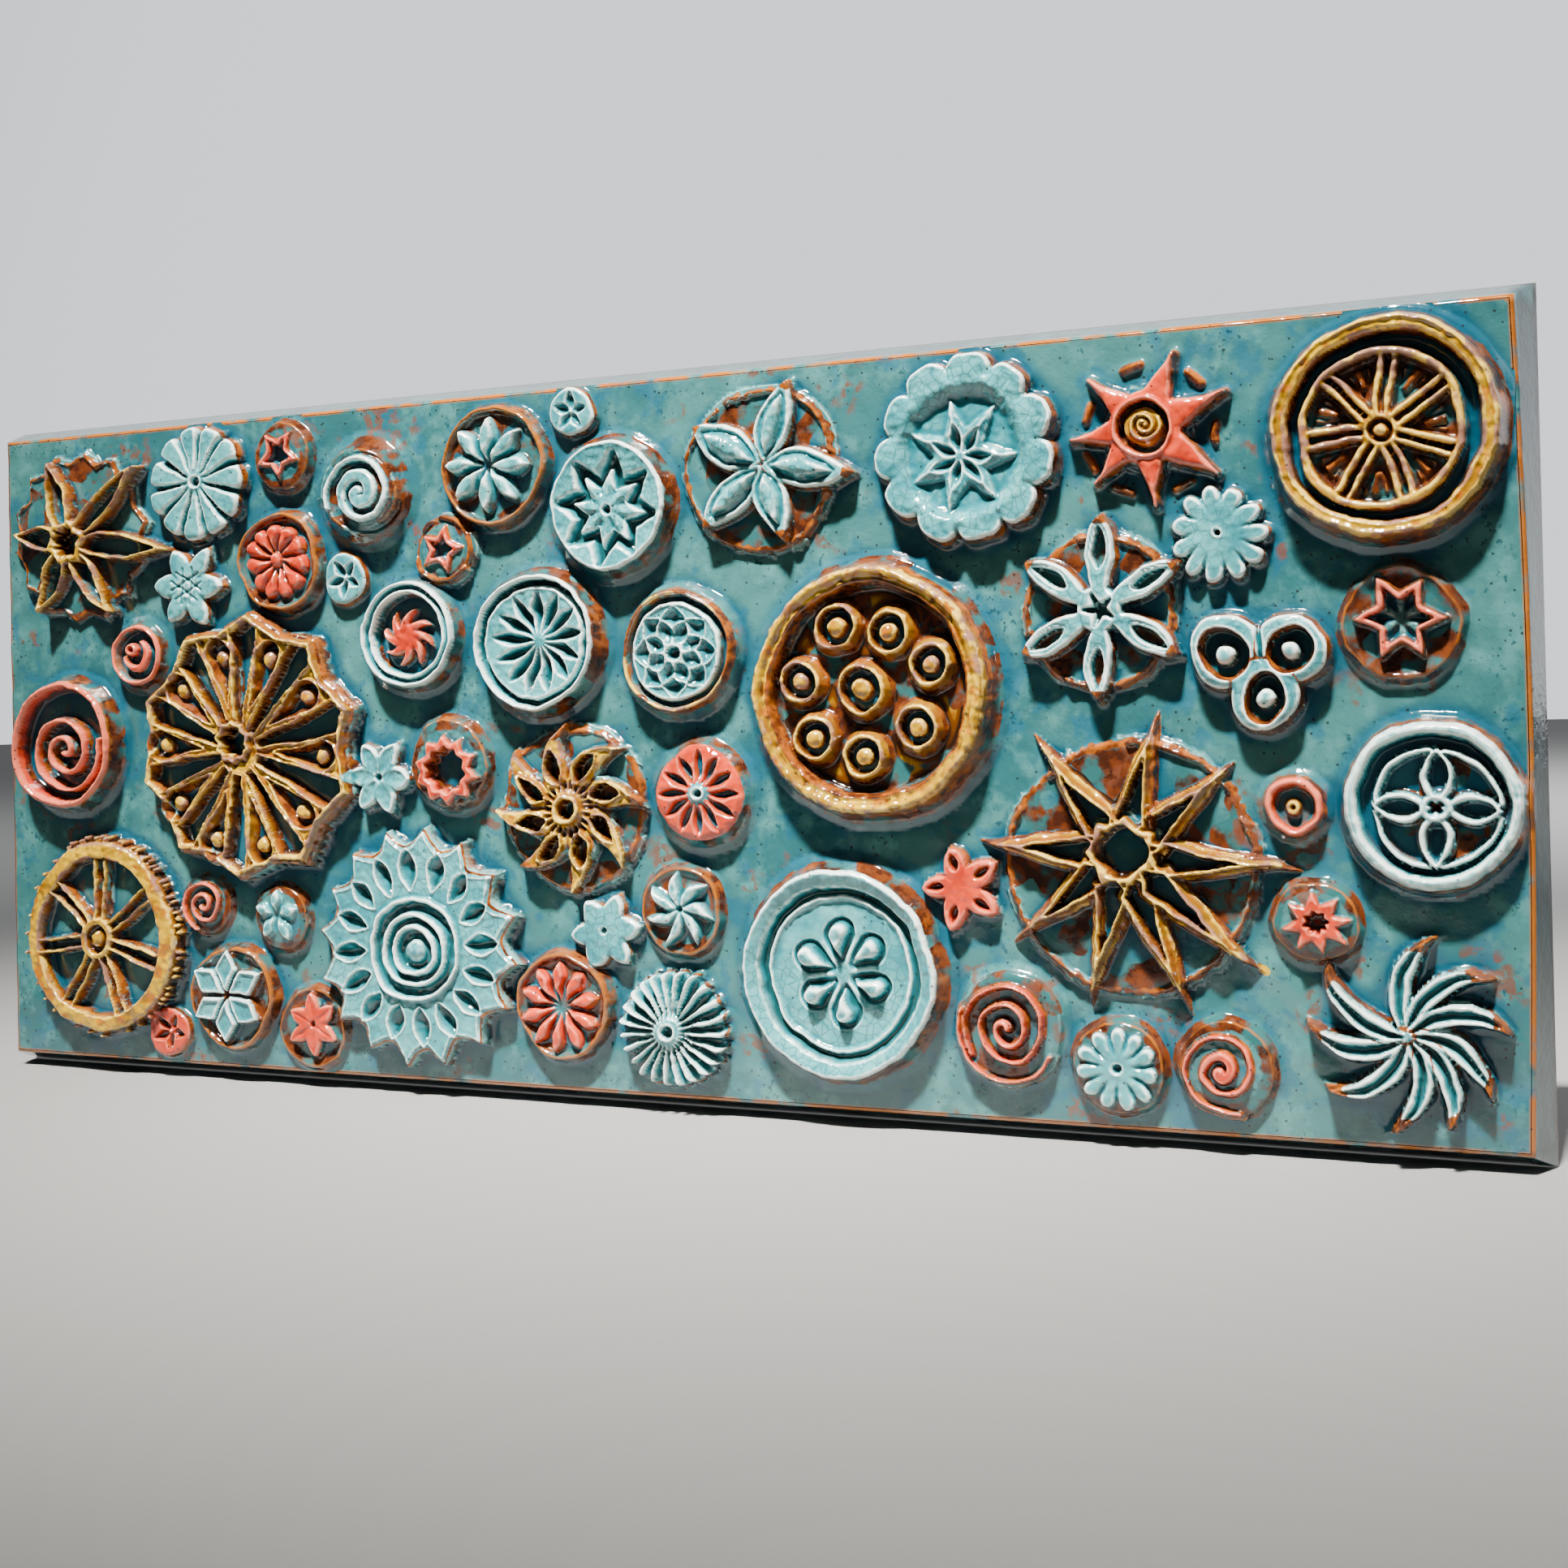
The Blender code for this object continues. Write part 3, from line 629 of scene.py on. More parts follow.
# Snail dome
m = Medallion(4, 144.2, 25.6, 20)
m.turned([(0, 7), (7, 6.9), (10.5, 6.7), (12.3, 6.5), (13.2, 5.4), (14.8, 3), (16.4, 1.3), (19, 0)])
m.patchy(BROWN, m.r - 16.8, 2, m.waves + m.x / 12, -0.9, 0.5)
m.about(146.2, 26.8)
far, share = m.spiral(12.8, 0.3, 2.3, 200)
half = np.interp(share, [0, 0.35, 0.62, 1], [0.5, 0.9, 2.2, 1.3])
m.press(m.disc(12.6), 1.6, 1)
m.cord(far - half + 0.8, 0.8, 8.2, 0.8, 5.2).glaze(PALE, far - half - 0.3)
m.done(0.06)

# Plate with eight leaf petals
m = Medallion(5, 190.2, 21.4, 20)
plate(m, 17.4, 4.8, 2.5)
m.about(188.8, 21.1)
leaf = m.leaf(88, 1.6, 14.4, 6.2, 0.6, 0.8, 8)
m.swell(leaf, 6.4, 3.6, 0.75).glaze(PALE, leaf, 0.4)
m.done()

# Small disc with a flower pressed into it
m = Medallion(6, 216.1, 8, 8)
flanked(m, m.disc(6.8, 0.3, 2), 3.1, 1, PALE, 0.9)
leaf = m.leaf(90, 0.3, 5.8, 3.2, count=5)
m.press(leaf, 1.6, 0.9)
m.done()

# Disc with a sunk star and a star in it
m = Medallion(7, 228.8, 35.4, 23)
m.turned([(0, 4.9), (9, 5.1), (14, 5.9), (16.9, 6.5), (17.6, 6.9), (18.2, 6.5), (19, 3.8),
          (20.4, 1.3), (22.8, 0)])
m.patchy(BROWN, m.r - 21, 1.2, m.waves + (m.x + m.y) / 14, -0.9, 0.6).round(PALE, 18.4)
m.about(228.4, 36.2)
m.sink(m.star(8, 15.4, 9.6, 82), 2.2, 2.4)
edge = m.star(8, 11.2, 5.8, 82)
m.mesa(edge, 5.2, 0.8, 0.7, 0.8, 2)
m.h -= 1.3 * m.side(8, 82) ** 1.4 * ramp(m.r, 1, 6) * (edge < 0)
m.hoop(1.8, 0.5, 5.2, 0.5, 3.8).well(1.1, 3, 0.4)
m.done(0.06)

# Small disc with five slits
m = Medallion(14, 136.8, 51.2, 9)
slits(m, 7.5, 50, PALE)
m.done()

# Small dome with a five-pointed hollow star
m = Medallion(15, 172.3, 44.3, 12)
dome(m, 9.8, 2.6, 3.4)
ring = abs(m.r - 9.3)
m.cord(ring + 2 * ramp(m.waves, 0.2, 0.9), 0.4, 3.9, 0.6, 2).glaze(RUST, ring - 0.8, 0.4)
hollow_star(m.about(172, 44.3), 5, 7.1, 3.8, 75, 4.4, 1.8, 1.5)
m.done(0.06)

# Double ring with a pinwheel on its sunk floor
m = Medallion(17, 160, 68.7, 20)
m.about(160.9, 68.9)
m.turned([(0, 1.6), (11.9, 1.7), (12.4, 4.6), (12.9, 6), (13.5, 6.1), (14.2, 4.2), (14.7, 4.2),
          (15.3, 6.3), (15.8, 6.6), (16.3, 6), (17, 3), (18, 1), (20, 0)])
m.patchy(BROWN, m.r - 18.2, 1, m.waves, -0.5, 0.6).round(PALE, 16.6)
m.patchy(RUST, m.disc(12.4), 0.5, m.waves + abs(m.y) / 14, 0.1, 0.8, 0.8)
m.round(TEAL, 11.7)
m.about(159.9, 69.8)
arm = m.leaf(84, -4, 9, 2.9, 0.5, 0.7, 8, -56)
m.mesa(np.minimum(arm, m.disc(2.4)), 4.9, 0.7, 0.9, 0.9, 0.8)
m.glaze(CORAL, np.minimum(arm, m.disc(2.4)) - 0.4, 0.4)
m.done(0.06)

# Grooved disc in a tall ring
m = Medallion(18, 203.2, 72.4, 24)
m.about(204.4, 72.4)
m.turned([(0, 5.2), (10, 5.5), (15.2, 5.9), (16, 6.3), (16.6, 5.6), (17.1, 3.4), (17.9, 3.4),
          (18.4, 6.6), (18.9, 7.6), (19.5, 7.3), (20.4, 4), (21.8, 1.2), (23.8, 0)])
m.patchy(BROWN, m.r - 22, 1.4, m.waves + (m.x + m.y) / 16, -0.9, 0.5).round(PALE, 19.7)
m.about(205.4, 72.3)
leaf = m.leaf(90, 1.2, 15.4, 4, 0.56, 0.9, 13)
m.press(leaf, 3.4, 1.5)
m.done(0.06)

# Domed disc with leaf-shaped flutes
m = Medallion(30, 255, 115.2, 18)
m.turned([(0, 6), (8, 5.8), (11.6, 5.3), (13, 4.4), (14.2, 2.4), (15.6, 0.9), (17.6, 0)])
m.patchy(BROWN, m.r - 15.6, 1.4, m.waves, -1, 0.3, 0.8).round(CORAL, 13.2, 0.9)
m.about(255, 115.4)
m.glaze(PALE, m.star(12, 4.2, 2.6, 90), 0.8)
leaf = m.leaf(90, 2.6, 12.2, 3.3, 0.55, 0.8, 12)
m.press(leaf, 2.4, 1.2).glaze(TEAL, leaf + 0.7, 0.4)
m.hoop(1.6, 0.55, 6.6, 0.5, 5).well(0.9, 4.2, 0.4)
m.done()

# Lotus disc in a thin ring
m = Medallion(19, 249, 76.7, 20)
m.turned([(0, 5), (12.6, 5.1), (13.4, 5.8), (14, 5.2), (14.6, 3), (15.4, 3), (16, 5.4),
          (16.6, 6.2), (17.2, 5.4), (18.2, 2.2), (20.2, 0)])
m.round(RUST, 17.8, 0.8).patchy(GOLD, m.disc(17), 0.4, m.waves, -0.8, 0.4)
m.round(TEAL, 15.9, 0.4).round(PALE, 14.1, 0.4)
m.about(248.7, 76.8)
outer = m.leaf(90, 4, 13, 8.6, 0.5, 0.8, 8)
m.press(outer, 1.7, 3, 0.9).cord(abs(outer), 0.3, 5.8, 0.4, 4)
inner = m.leaf(68, 2.4, 9.4, 5.4, 0.55, 0.8, 8)
m.h = np.where(inner < 0.3, np.maximum(m.h, 5.4), m.h)
m.press(inner, 1.9, 2, 0.9).cord(abs(inner), 0.3, 6.1, 0.4, 4.2)
m.cord(abs(m.scallops(12, 2.7, 0.5, 0)), 0.5, 6.2, 0.4, 4.2).well(1.4, 3.4, 0.4)
m.done()

# Small flower of six petals
m = Medallion(27, 148.3, 110.6, 12)
leaf = m.leaf(118, -3, 11.4, 6.2, 0.66, 0.7, 6)
flanked(m, np.minimum(leaf, m.disc(4.2)), 4.3, 0.9, PALE, 0.8)
m.press(leaf + 0.9, 0.5, 1).well(0.9, 2.2, 0.5)
m.done()

# Dome with a sun ring
m = Medallion(28, 173.2, 106.6, 17)
dome(m, 14, 3.6, 4.6)
m.about(173.8, 108.4)
edge = m.star(10, 10.8, 8.2, 96)
flanked(m, edge, 6.9, 0.8, CORAL, 0.6, 1, 2.6)
hole = m.star(10, 7, 5.8, 96)
m.sink(hole, 2, 0.9).glaze(RUST, hole, 0.6).glaze(TEAL, hole + 0.9, 0.6)
m.done(0.07)

# Pinwheel of eight bent open leaves in a broken rim
m = Medallion(29, 213.8, 119.5, 28)
low_disc(m.about(214.2, 119.6), 23.2, 1.9, 0.6)
m.about(213.8, 119.5)
for i in range(8):
    arm = m.leaf(72 + 45 * i, 4, 24.6, 7.2, 0.4, 0.85, bend=-26)
    m.mesa(arm, 5.6 + 0.5 * np.sin(2.4 * i), 0.7, 1, 1.2)
    m.cord(abs(m.across - 0.75) * 3 + GONE * (arm > 0) + 3 * (m.t < 0.4), 0.4, 6.5, 1.2, 4.4)
    m.lined(GOLD, arm, 0.6, 0.2, 0.6)
    m.tint(RUST, 0.9 * inside(arm, 0.5) * ramp(m.t, 0.66, 0.9) * ramp(m.waves - m.across, -0.6, 0.4))
eye = m.leaf(69, 8.2, 17.4, 4.4, 0.5, 0.85, 8, -9)
m.cord(abs(eye - 0.5), 0.35, 6.9, 0.6, 4.6).sink(eye, 1.4, 0.7).tint(BROWN, 0.8 * inside(eye + 0.3, 0.5))
m.mesa(m.disc(8.2), 5.4, 0.8, 0.5, base=1).round(GOLD, 8.6, 0.6)
m.h -= 1.6 * (0.5 + 0.5 * np.cos(22 * m.angle)) * inside(abs(m.r - 6.9) - 1.3, 0.8)
m.hoop(3.9, 0.6, 7.2, 0.6, 4.6).well(2.7, 1.8, 0.6).round(TEAL, 2.3)
m.done(0.12)

# Sun disc: sixteen teeth, sixteen dents, rings and a boss
m = Medallion(40, 161.7, 160.4, 37)
side = m.side(16, 84)
edge = m.r - 29.6 - 5.4 * (1 - side) ** 1.8
flanked(m, edge, 5.6, 1.4, PALE, 0.9)
m.cord(abs(edge + 1), 0.5, 6, 1.2, 4.8)
leaf = m.leaf(95, 18.2, 29.2, 5.6, 0.55, 0.75, 16)
m.cord(abs(leaf - 0.3), 0.25, 6.1, 0.6, 5.2).press(leaf, 2.8, 2.2, 0.6)
m.well(15.3, 4.4, 1)
for radius, top in ((15.4, 7.2), (10.6, 7.3), (7.1, 7.4)):
    m.cord(abs(m.disc(radius, 0.15, 3)), 0.55, top, 0.9, 3.8)
m.bead(3.9, 7.6)
m.done(0.06)

# Plate with ten petals
m = Medallion(41, 210, 175.4, 18)
plate(m, 15.2, 4.8, 2.7)
m.about(209.3, 176)
leaf = m.leaf(87, 1.6, 13.4, 5, 0.66, 0.75, 10)
m.swell(leaf, 5.7, 3.4, 0.6).glaze(CORAL, leaf, 0.4)
m.done()

# Small flower of six petals
m = Medallion(42, 224.2, 154, 12)
leaf = m.leaf(8, -3, 11, 6.4, 0.66, 0.7, 6)
flanked(m, np.minimum(leaf, m.disc(4.4)), 4, 0.9, PALE, 1.5)
m.press(leaf + 1, 0.15, 1).well(0.7, 2.2, 0.5)
m.done()

# Small plate with a pinwheel
m = Medallion(43, 247.9, 147.7, 15)
plate(m, 12.4, 3.2, 1.8)
m.about(247.8, 147.5)
leaf = m.leaf(64, -0.6, 11.2, 4.6, 0.5, 0.8, 7, -26)
m.swell(leaf, 5.1, 2.4, 0.6).glaze(PALE, leaf, 0.4).well(0.7, 3, 0.4)
m.done()

# Fluted round
m = Medallion(44, 245, 180.2, 18)
side = m.side(23, 0)
edge = m.r - 16.2 + 1.5 * side**2
flanked(m, edge, 5.8, 1, PALE, 0.9)
m.about(244, 181)
side = m.side(23, 0)
m.h -= 3.6 * ramp(side, 0.14, 0.66) * ramp(m.r, 3.4, 5.6) * (edge < 0.8)
m.hoop(2.4, 0.6, 6.3, 0.5, 4.6).well(1.6, 3.2, 0.4)
m.done(0.07)

# Five leaves in leaves over a low disc
m = Medallion(8, 275, 27.5, 30)
low_disc(m.about(274, 28.1), 22.8, 1.8, 1.3)
m.about(276.2, 26.9)
for direction, reach in ((71, 23.5), (150, 25), (222, 25), (284, 22), (351, 27)):
    leaf = m.leaf(direction, 0.5, reach, 10.4, 0.5, 0.95)
    flanked(m, leaf, 5.6, 0.9, PALE, 0.6, 1.4)
    m.tint(RUST, inside(leaf, 0.5) * ramp(m.r, reach - 4, reach - 1.5))
    core = m.leaf(direction, 2.5, reach * 0.82, 6.8, 0.52, 0.85)
    m.score(abs(core - 0.2), 1.4, 0.9).swell(core, 7.4, 4.6, 0.8)
m.done(0.06)

# Scalloped flower with a star in its sunk middle
m = Medallion(9, 333.3, 27.1, 28)
edge = m.scallops(11, 24.6, 3.2, 85, 0.3)
flanked(m, edge, 6.2, 1.3, PALE, 0.7, 2)
side = m.side(11, 85)
m.h -= 1 * side**4 * ramp(m.r, 17, 22) * (edge < 0.5)
m.about(332.9, 28)
m.h -= 2.9 * ramp(-m.r, -18.6, -13.5)
m.about(332.8, 28.8)
edge = m.star(7, 15, 6.8, 103)
m.mesa(edge, 4.8, 0.7, 0.9, 1, 2.4)
side = m.side(7, 103)
m.h += 1.3 * np.clip(1 - side * 1.2, 0, 1) * ramp(m.r, 2, 7) * ramp(-edge, 0, 2.4)
leaf = m.leaf(103, 1.2, 9, 3, count=7)
m.press(leaf, 2.6, 1.1)
m.done(0.06)

# Seven-pointed star with a coiled middle, among low bars
m = Medallion(10, 380.9, 25.2, 25)
for direction in (-60, -6, 46, 104, 161, 206, 246):
    along, across = m.about(380.9, 25.2).along(direction)
    bar = np.hypot(np.maximum(abs(across) - 2.3, 0), along - 17)
    m.cord(bar, 0.6, 1.6, 0.7).glaze(RUST, bar - 1.1)
for direction, reach in ((-84, 20), (-35, 22), (23, 21.5), (70, 20), (137, 20), (186, 20), (225, 19)):
    leaf = m.leaf(direction, -11, reach, 10.4, 0.42, 1.8)
    m.mesa(leaf, 5.2, 1.1, 1.8, 1.8)
    m.lined(CORAL, leaf, 0.9, 0.4, 0.5, 0.6)
    m.tint(RUST, inside(leaf, 0.6) * ramp(m.r, reach - 3.6, reach - 1.2))
m.mesa(m.disc(9.4), 5, 0.8, base=1).round(CORAL, 9.8, 0.6)
m.about(380.4, 25.4)
m.hoop(7.6, 0.6, 5.9, 0.7, 4).well(6.5, 2, 0.8).round(BROWN, 6.6)
m.mesa(m.disc(4.9), 4, 0.6, 0.8, 0.5, 1.8).round(GOLD, 5.2)
far, _ = m.spiral(4.4, 0.3, 2.2, 30)
m.cord(far, 0.45, 5.3, 0.4, 3.2)
m.done()

# Big ring full of ring-and-ball studs
m = Medallion(20, 305.9, 88.6, 39)
m.turned([(0, 2), (27, 2.1), (28, 3.4), (28.6, 6.8), (29.3, 7.6), (30.2, 7.2), (31.4, 8.6),
          (32.4, 8.8), (33.4, 7.6), (34.4, 4.2), (35.6, 1.4), (38.4, 0)])
m.patchy(BROWN, m.r - 36.6, 1.2, m.waves + (m.x - m.y) / 24, -1.4, -0.4)
m.lined(GOLD, m.r, 34.6, 33.9, 0.8, 0.7).round(RUST, 29.6, 0.6).round(BROWN, 28, 0.8)
m.patchy(GOLD, m.disc(27.6), 0.6, m.waves, -0.6, 0.2, 0.8)
studs = [(0, 0, 7.4, 7)]
for direction, reach in ((113, 18.4), (62, 17), (17, 20), (-32, 18), (-89, 17), (-139, 19.2), (171, 18)):
    studs.append((*spot_at(reach, direction), 6.2, 6.4))
for dx, dy, radius, top in studs:
    m.about(304.1 + dx, 88.2 - dy)
    wall = m.disc(radius * 0.9, 0.15, 3, dx * 20)
    m.mesa(wall, top, 2, 0.25, 1, 1.8)
    m.lined(GOLD, wall, 2.2, 1.3, 0.8, 0.8)
    m.well(radius * 0.9 - 0.9, top - 3.6, 0.5).round(TEAL, radius * 0.9 - 1.5)
    m.bead(radius * 0.44, top).round(GOLD, radius * 0.44, 0.4)
m.done(0.1)

# Six open leaves over a low disc
m = Medallion(21, 368, 69.6, 26)
low_disc(m.about(367.6, 70.1), 19.8, 1.5, 1.3)
m.about(368.3, 69.4)
for i in range(6):
    leaf = m.leaf(88 + 60 * i, -2, 23.4, 7, 0.66, 0.8)
    flanked(m, leaf, 6.2, 1, PALE, 0.5, 1.4)
    m.patchy(RUST, leaf, 0.5, m.r, 20, 22)
    eye = m.leaf(88 + 60 * i, 10.4, 20.4, 3)
    m.sink(eye + 0.1, 2.4, 0.8).tint(BROWN, 0.8 * inside(eye, 0.5))
    m.score(abs(eye - 0.9) + GONE * (m.r < 8), 0.9, 0.5)
m.mesa(m.disc(5.6), 6.4, 0.9, base=1).round(PALE, 6, 0.8)
m.sink(m.star(5, 4.2, 1.4, 110), 2.6, 0.6)
m.done(0.06)

# Small flower of eleven petals
m = Medallion(22, 398.1, 52.5, 14)
side = m.side(11, 100)
edge = m.r - 12.2 * (1 - 0.3 * side**2.6)
flanked(m, edge, 4, 1, PALE, 1.1)
m.h -= 1.4 * side**6 * ramp(m.r, 4.88, 9.76) * (edge < 0.5)
m.mesa(m.disc(1.6), 4.35, 0.4, 0.3, 0.5, 3.2).well(0.64, 2.2, 0.4)
m.round(BROWN, 0.72, 0.4)
m.done(0.04)

# Trefoil of three lobes, each with a sunk drop and a ball
m = Medallion(23, 407.4, 85, 23)
for u, v, radius in ((399.6, 80.8, 9.4), (415, 81.2, 9.2), (408.3, 92, 8.7)):
    flanked(m, m.about(u, v).disc(radius - 0.6, 0.3, 3), 6.6, 1.2, PALE, 2.8, 2)
m.about(407.5, 84).score(abs(m.x) + GONE * ((m.y < 0) | (m.y > 9)), 1.6, 2.4)
for u, v, reach, turn in ((399.2, 81.4, 5.6, 130), (415.2, 81.6, 5.4, 40), (408.3, 92.8, 4.9, 90)):
    hole = m.about(u, v).spot(0, 0, reach * 0.92, 1.22, turn)
    m.sink(hole, 1.8, 0.9).glaze(RUST, abs(hole - 0.2) - 0.5).glaze(TEAL, hole + 0.9)
    m.about(u, v + 0.3).bead(2.6, 5.8).round(PALE, 2.6, 0.4)
m.done()

# Big open star of nine arms on a low disc
m = Medallion(31, 373, 131, 47)
low_disc(m.about(373.6, 133.8), 32.6, 1.6, 1.4)
m.about(372.8, 131)
arms = ((-4, 45), (39, 37), (76, 38), (128, 40), (176, 40), (217, 39), (255, 41), (292, 44), (320, 45))
for direction, reach in arms:
    body = m.leaf(direction, 2, reach, 13, 0.22, 0)
    m.h = np.maximum(m.h, (1 + 5.6 * np.clip(-body / 2.2, 0, 1) ** 0.85) * (body < 0))
    m.cord(abs(body + 2.4) + GONE * (m.t > 0.8), 0.35, 7.3, 0.7, 4)
    m.out = np.minimum(m.out, body - 0.2)
    m.glaze(RUST, body - 0.1, 0.6).glaze(GOLD, body + 0.5 - 0.5 * m.waves, 0.6)
    m.patchy(RUST, body, 0.6, m.t, 0.8, 0.94, 0.9)
    m.sink(body + 3.1, 1.6, 0.7).glaze(TEAL, body + 3.5)
ring = abs(m.about(372.5, 130).star(7, 8.4, 6.8, 30))
m.cord(ring, 0.8, 7.5, 0.7, 3).glaze(GOLD, ring - 1.3)
m.sink(m.disc(6.4, 0.5, 4), 0.8, 0.8).round(TEAL, 5.6)
m.done(0.12)

# Large dish with six drops
m = Medallion(45, 295.6, 162.9, 33)
m.turned([(0, 3.2), (19.6, 3.3), (20.4, 4.2), (21, 4.4), (21.5, 3.2), (22.2, 2.4), (23, 3.4), (24, 5.6),
          (26.4, 7), (27.3, 7.4), (28, 6.8), (28.8, 4), (30.2, 1.4), (33, 0)])
m.patchy(BROWN, m.r - 30.6, 1.4, m.waves + (m.x + m.y) / 24, -0.9, 0.4).round(PALE, 28.2, 0.6)
m.about(296, 162.7)
drop = m.drop(96, 3.6, 13.8, 6.6, 6)
m.score(abs(drop - 0.5), 1.8, 1.5).swell(drop + 0.1, 6.9, 2.6, 0.6)
m.done()

# Small flower of five petals
m = Medallion(46, 330, 140, 12)
leaf = m.leaf(38, -3, 11.4, 6.4, 0.68, 0.7, 5)
body = np.minimum(leaf, m.disc(3.6))
m.mesa(body, 4.2, 0.7, 1, 1.2)
m.lined(CORAL, body, 0.8, 0.4)
leaf = m.leaf(38, 4.8, 10, 2.8, count=5)
m.press(leaf, 2, 0.7)
m.done()

# Coil on a low drum, its outer turn doubled
m = Medallion(47, 341.6, 175.6, 17)
m.turned([(0, 2.4), (12.6, 2.6), (14, 2.2), (15.2, 1), (17.2, 0)])
m.patchy(BROWN, m.r - 15, 1, m.waves, -0.8, 0.4, 0.8)
far, share = m.spiral(12.4, 0.7, 2.5, 215)
m.cord(far, 0.25 + 0.3 * share, 6, 0.6, 2).lined(CORAL, far, 1.3, 0.75, 0.6)
far, _ = m.path([spot_at(14.2 - 0.5 * abs(a - 230) / 70, a) for a in range(160, 330, 12)])
m.cord(far, 0.35, 5, 0.6, 1.8).glaze(CORAL, far - 0.6)
m.done(0.06)

# Big ring round a wheel of seven double spokes
m = Medallion(11, 437.8, 29.6, 31)
m.turned([(0, 2.6), (21.6, 2.7), (22.6, 3.6), (23.3, 7), (24.1, 8), (25, 7.7), (26, 8.5), (26.8, 7.6),
          (27.8, 3.6), (28.8, 1.2), (31, 0)])
m.patchy(BROWN, m.r - 29, 1.2, m.waves + (m.x - m.y) / 20, -1.2, -0.2)
m.round(RUST, 28, 0.8).round(GOLD, 27.4, 0.6).round(TEAL, 22.5, 0.6)
m.about(437, 29.9)
m.mesa(m.disc(18.6), 3.2, 0.8, base=2.4).round(BROWN, 18.6, 0.6)
m.cord(abs(m.disc(18.9, 0.2, 3)), 0.9, 7.1, 0.8, 2.4).glaze(GOLD, abs(m.r - 18.9) - 1.2)
for bar, along in spokes(m, 84, 1.25, 50, 2, 18):
    m.cord(bar, 0.7, 6.5 + 0.1 * np.sin(along * 2.2), 0.7, 2.6).glaze(GOLD, bar - 1, 0.4)
fan = folded(m.angle, 7, 84 + 180 / 7)
spread = (abs(fan) < 0.018 * m.r - 0.08) & (m.r < 15.8 - 9 * fan**2) & (m.r > 10.5)
ribs = 0.5 + 0.5 * np.cos(fan * 30)
m.h = np.where(spread, np.maximum(m.h, 3.4 + 1.4 * ribs), m.h)
m.tint(RUST, 0.9 * spread * ribs)
m.mesa(m.disc(4.2), 6.2, 0.7, 0.3, base=2).round(GOLD, 4.8)
m.well(2.9, 4.6, 0.4).bead(1.9, 7)
m.done(0.07)

# Small plate with a six-pointed hollow star
m = Medallion(24, 440.5, 75.6, 16)
plate(m, 14, 2.6, 1.5)
hollow_star(m.about(440.3, 74.5), 6, 10.8, 6, 0, 5.1, 1.8, 1.5)
leaf = m.leaf(0, 1.5, 8, 2.4, count=6)
m.press(leaf, 1.2, 0.8)
m.done(0.06)

# Small ring with a dot
m = Medallion(32, 414.6, 118.6, 9)
m.turned([(0, 1.3), (4.7, 1.5), (5.3, 3.4), (5.9, 4.7), (6.6, 4.7), (7.2, 3.6), (7.9, 1.3), (9.8, 0)])
m.round(RUST, 7.9, 0.6).round(CORAL, 7.3).round(TEAL, 5)
ring = abs(m.spot(-0.3, -0.2, 1.2))
m.cord(ring, 0.6, 3.9, 0.6, 1).glaze(GOLD, ring - 1)
m.done()

# Thick ring round a thin broken ring and an open cross
m = Medallion(33, 446.6, 118.2, 22)
m.turned([(0, 2), (16.6, 2.1), (17.3, 4.2), (17.9, 6.5), (18.6, 7.1), (19.6, 6.9), (20.5, 5.2),
          (21.2, 2.6), (22, 1), (23.2, 0)])
m.lined(PALE, m.r, 21.3, 20.6, 0.7, 0.6).round(TEAL, 17, 0.6)
m.about(447.5, 119.2)
m.patchy(BROWN, m.disc(13), 0.8, m.waves, -0.9, 0.5, 0.85)
gaps = ramp(np.cos(4 * (m.angle - math.radians(88))), 0.95, 0.99)
thin = abs(m.disc(14.2, 0.2, 3)) + 3 * gaps
m.cord(thin, 0.5, 5.8, 0.7, 1).glaze(PALE, thin - 0.85)
loops(m, [(88 + 90 * i, 14.4) for i in range(4)], 7.4, 1.2, 6.5, PALE, 0.8, 0.56, 0.8)
m.hoop(2.6, 0.7, 6.6, 0.7, 3).glaze(PALE, abs(m.r - 2.6) - 1)
m.done()

# Dome with an eight-pointed star
m = Medallion(50, 419.3, 146.5, 13)
dome(m, 10.6, 3, 4)
m.about(419.8, 146.8)
edge = m.star(8, 7.9, 4.3, 98)
flanked(m, edge, 5.7, 0.7, CORAL, 0.9, 1, 2)
m.sink(m.star(8, 2.8, 1.8, 98), 2.8, 0.6)
m.done(0.06)

# Dome with a flower
m = Medallion(48, 370.2, 183.8, 15)
dome(m, 12.2, 3.4, 4.2)
m.about(370, 184.1)
side = m.side(11, 90)
edge = m.r - 10.2 * (1 - 0.34 * side**2.6)
flanked(m, edge, 5.6, 0.7, PALE, 1, 0.9, 3)
m.h -= 1.4 * side**4 * ramp(m.r, 2.5, 6) * (edge < 0.3)
m.well(0.9, 3.6, 0.5)
m.done()

# Dome with a coil
m = Medallion(49, 396.6, 182.6, 15)
dome(m, 12.2, 2.8, 3.7)
m.about(396, 183.2)
far, share = m.spiral(11.2, 0.8, 2.2, 290)
half = 0.25 + 1.2 * share**2
m.cord(far - half + 0.4, 0.4, 5 + 0.9 * share, 0.6, 2.6)
m.lined(CORAL, far - half, 0.7, 0.2, 0.5, 0.4)
m.done(0.06)

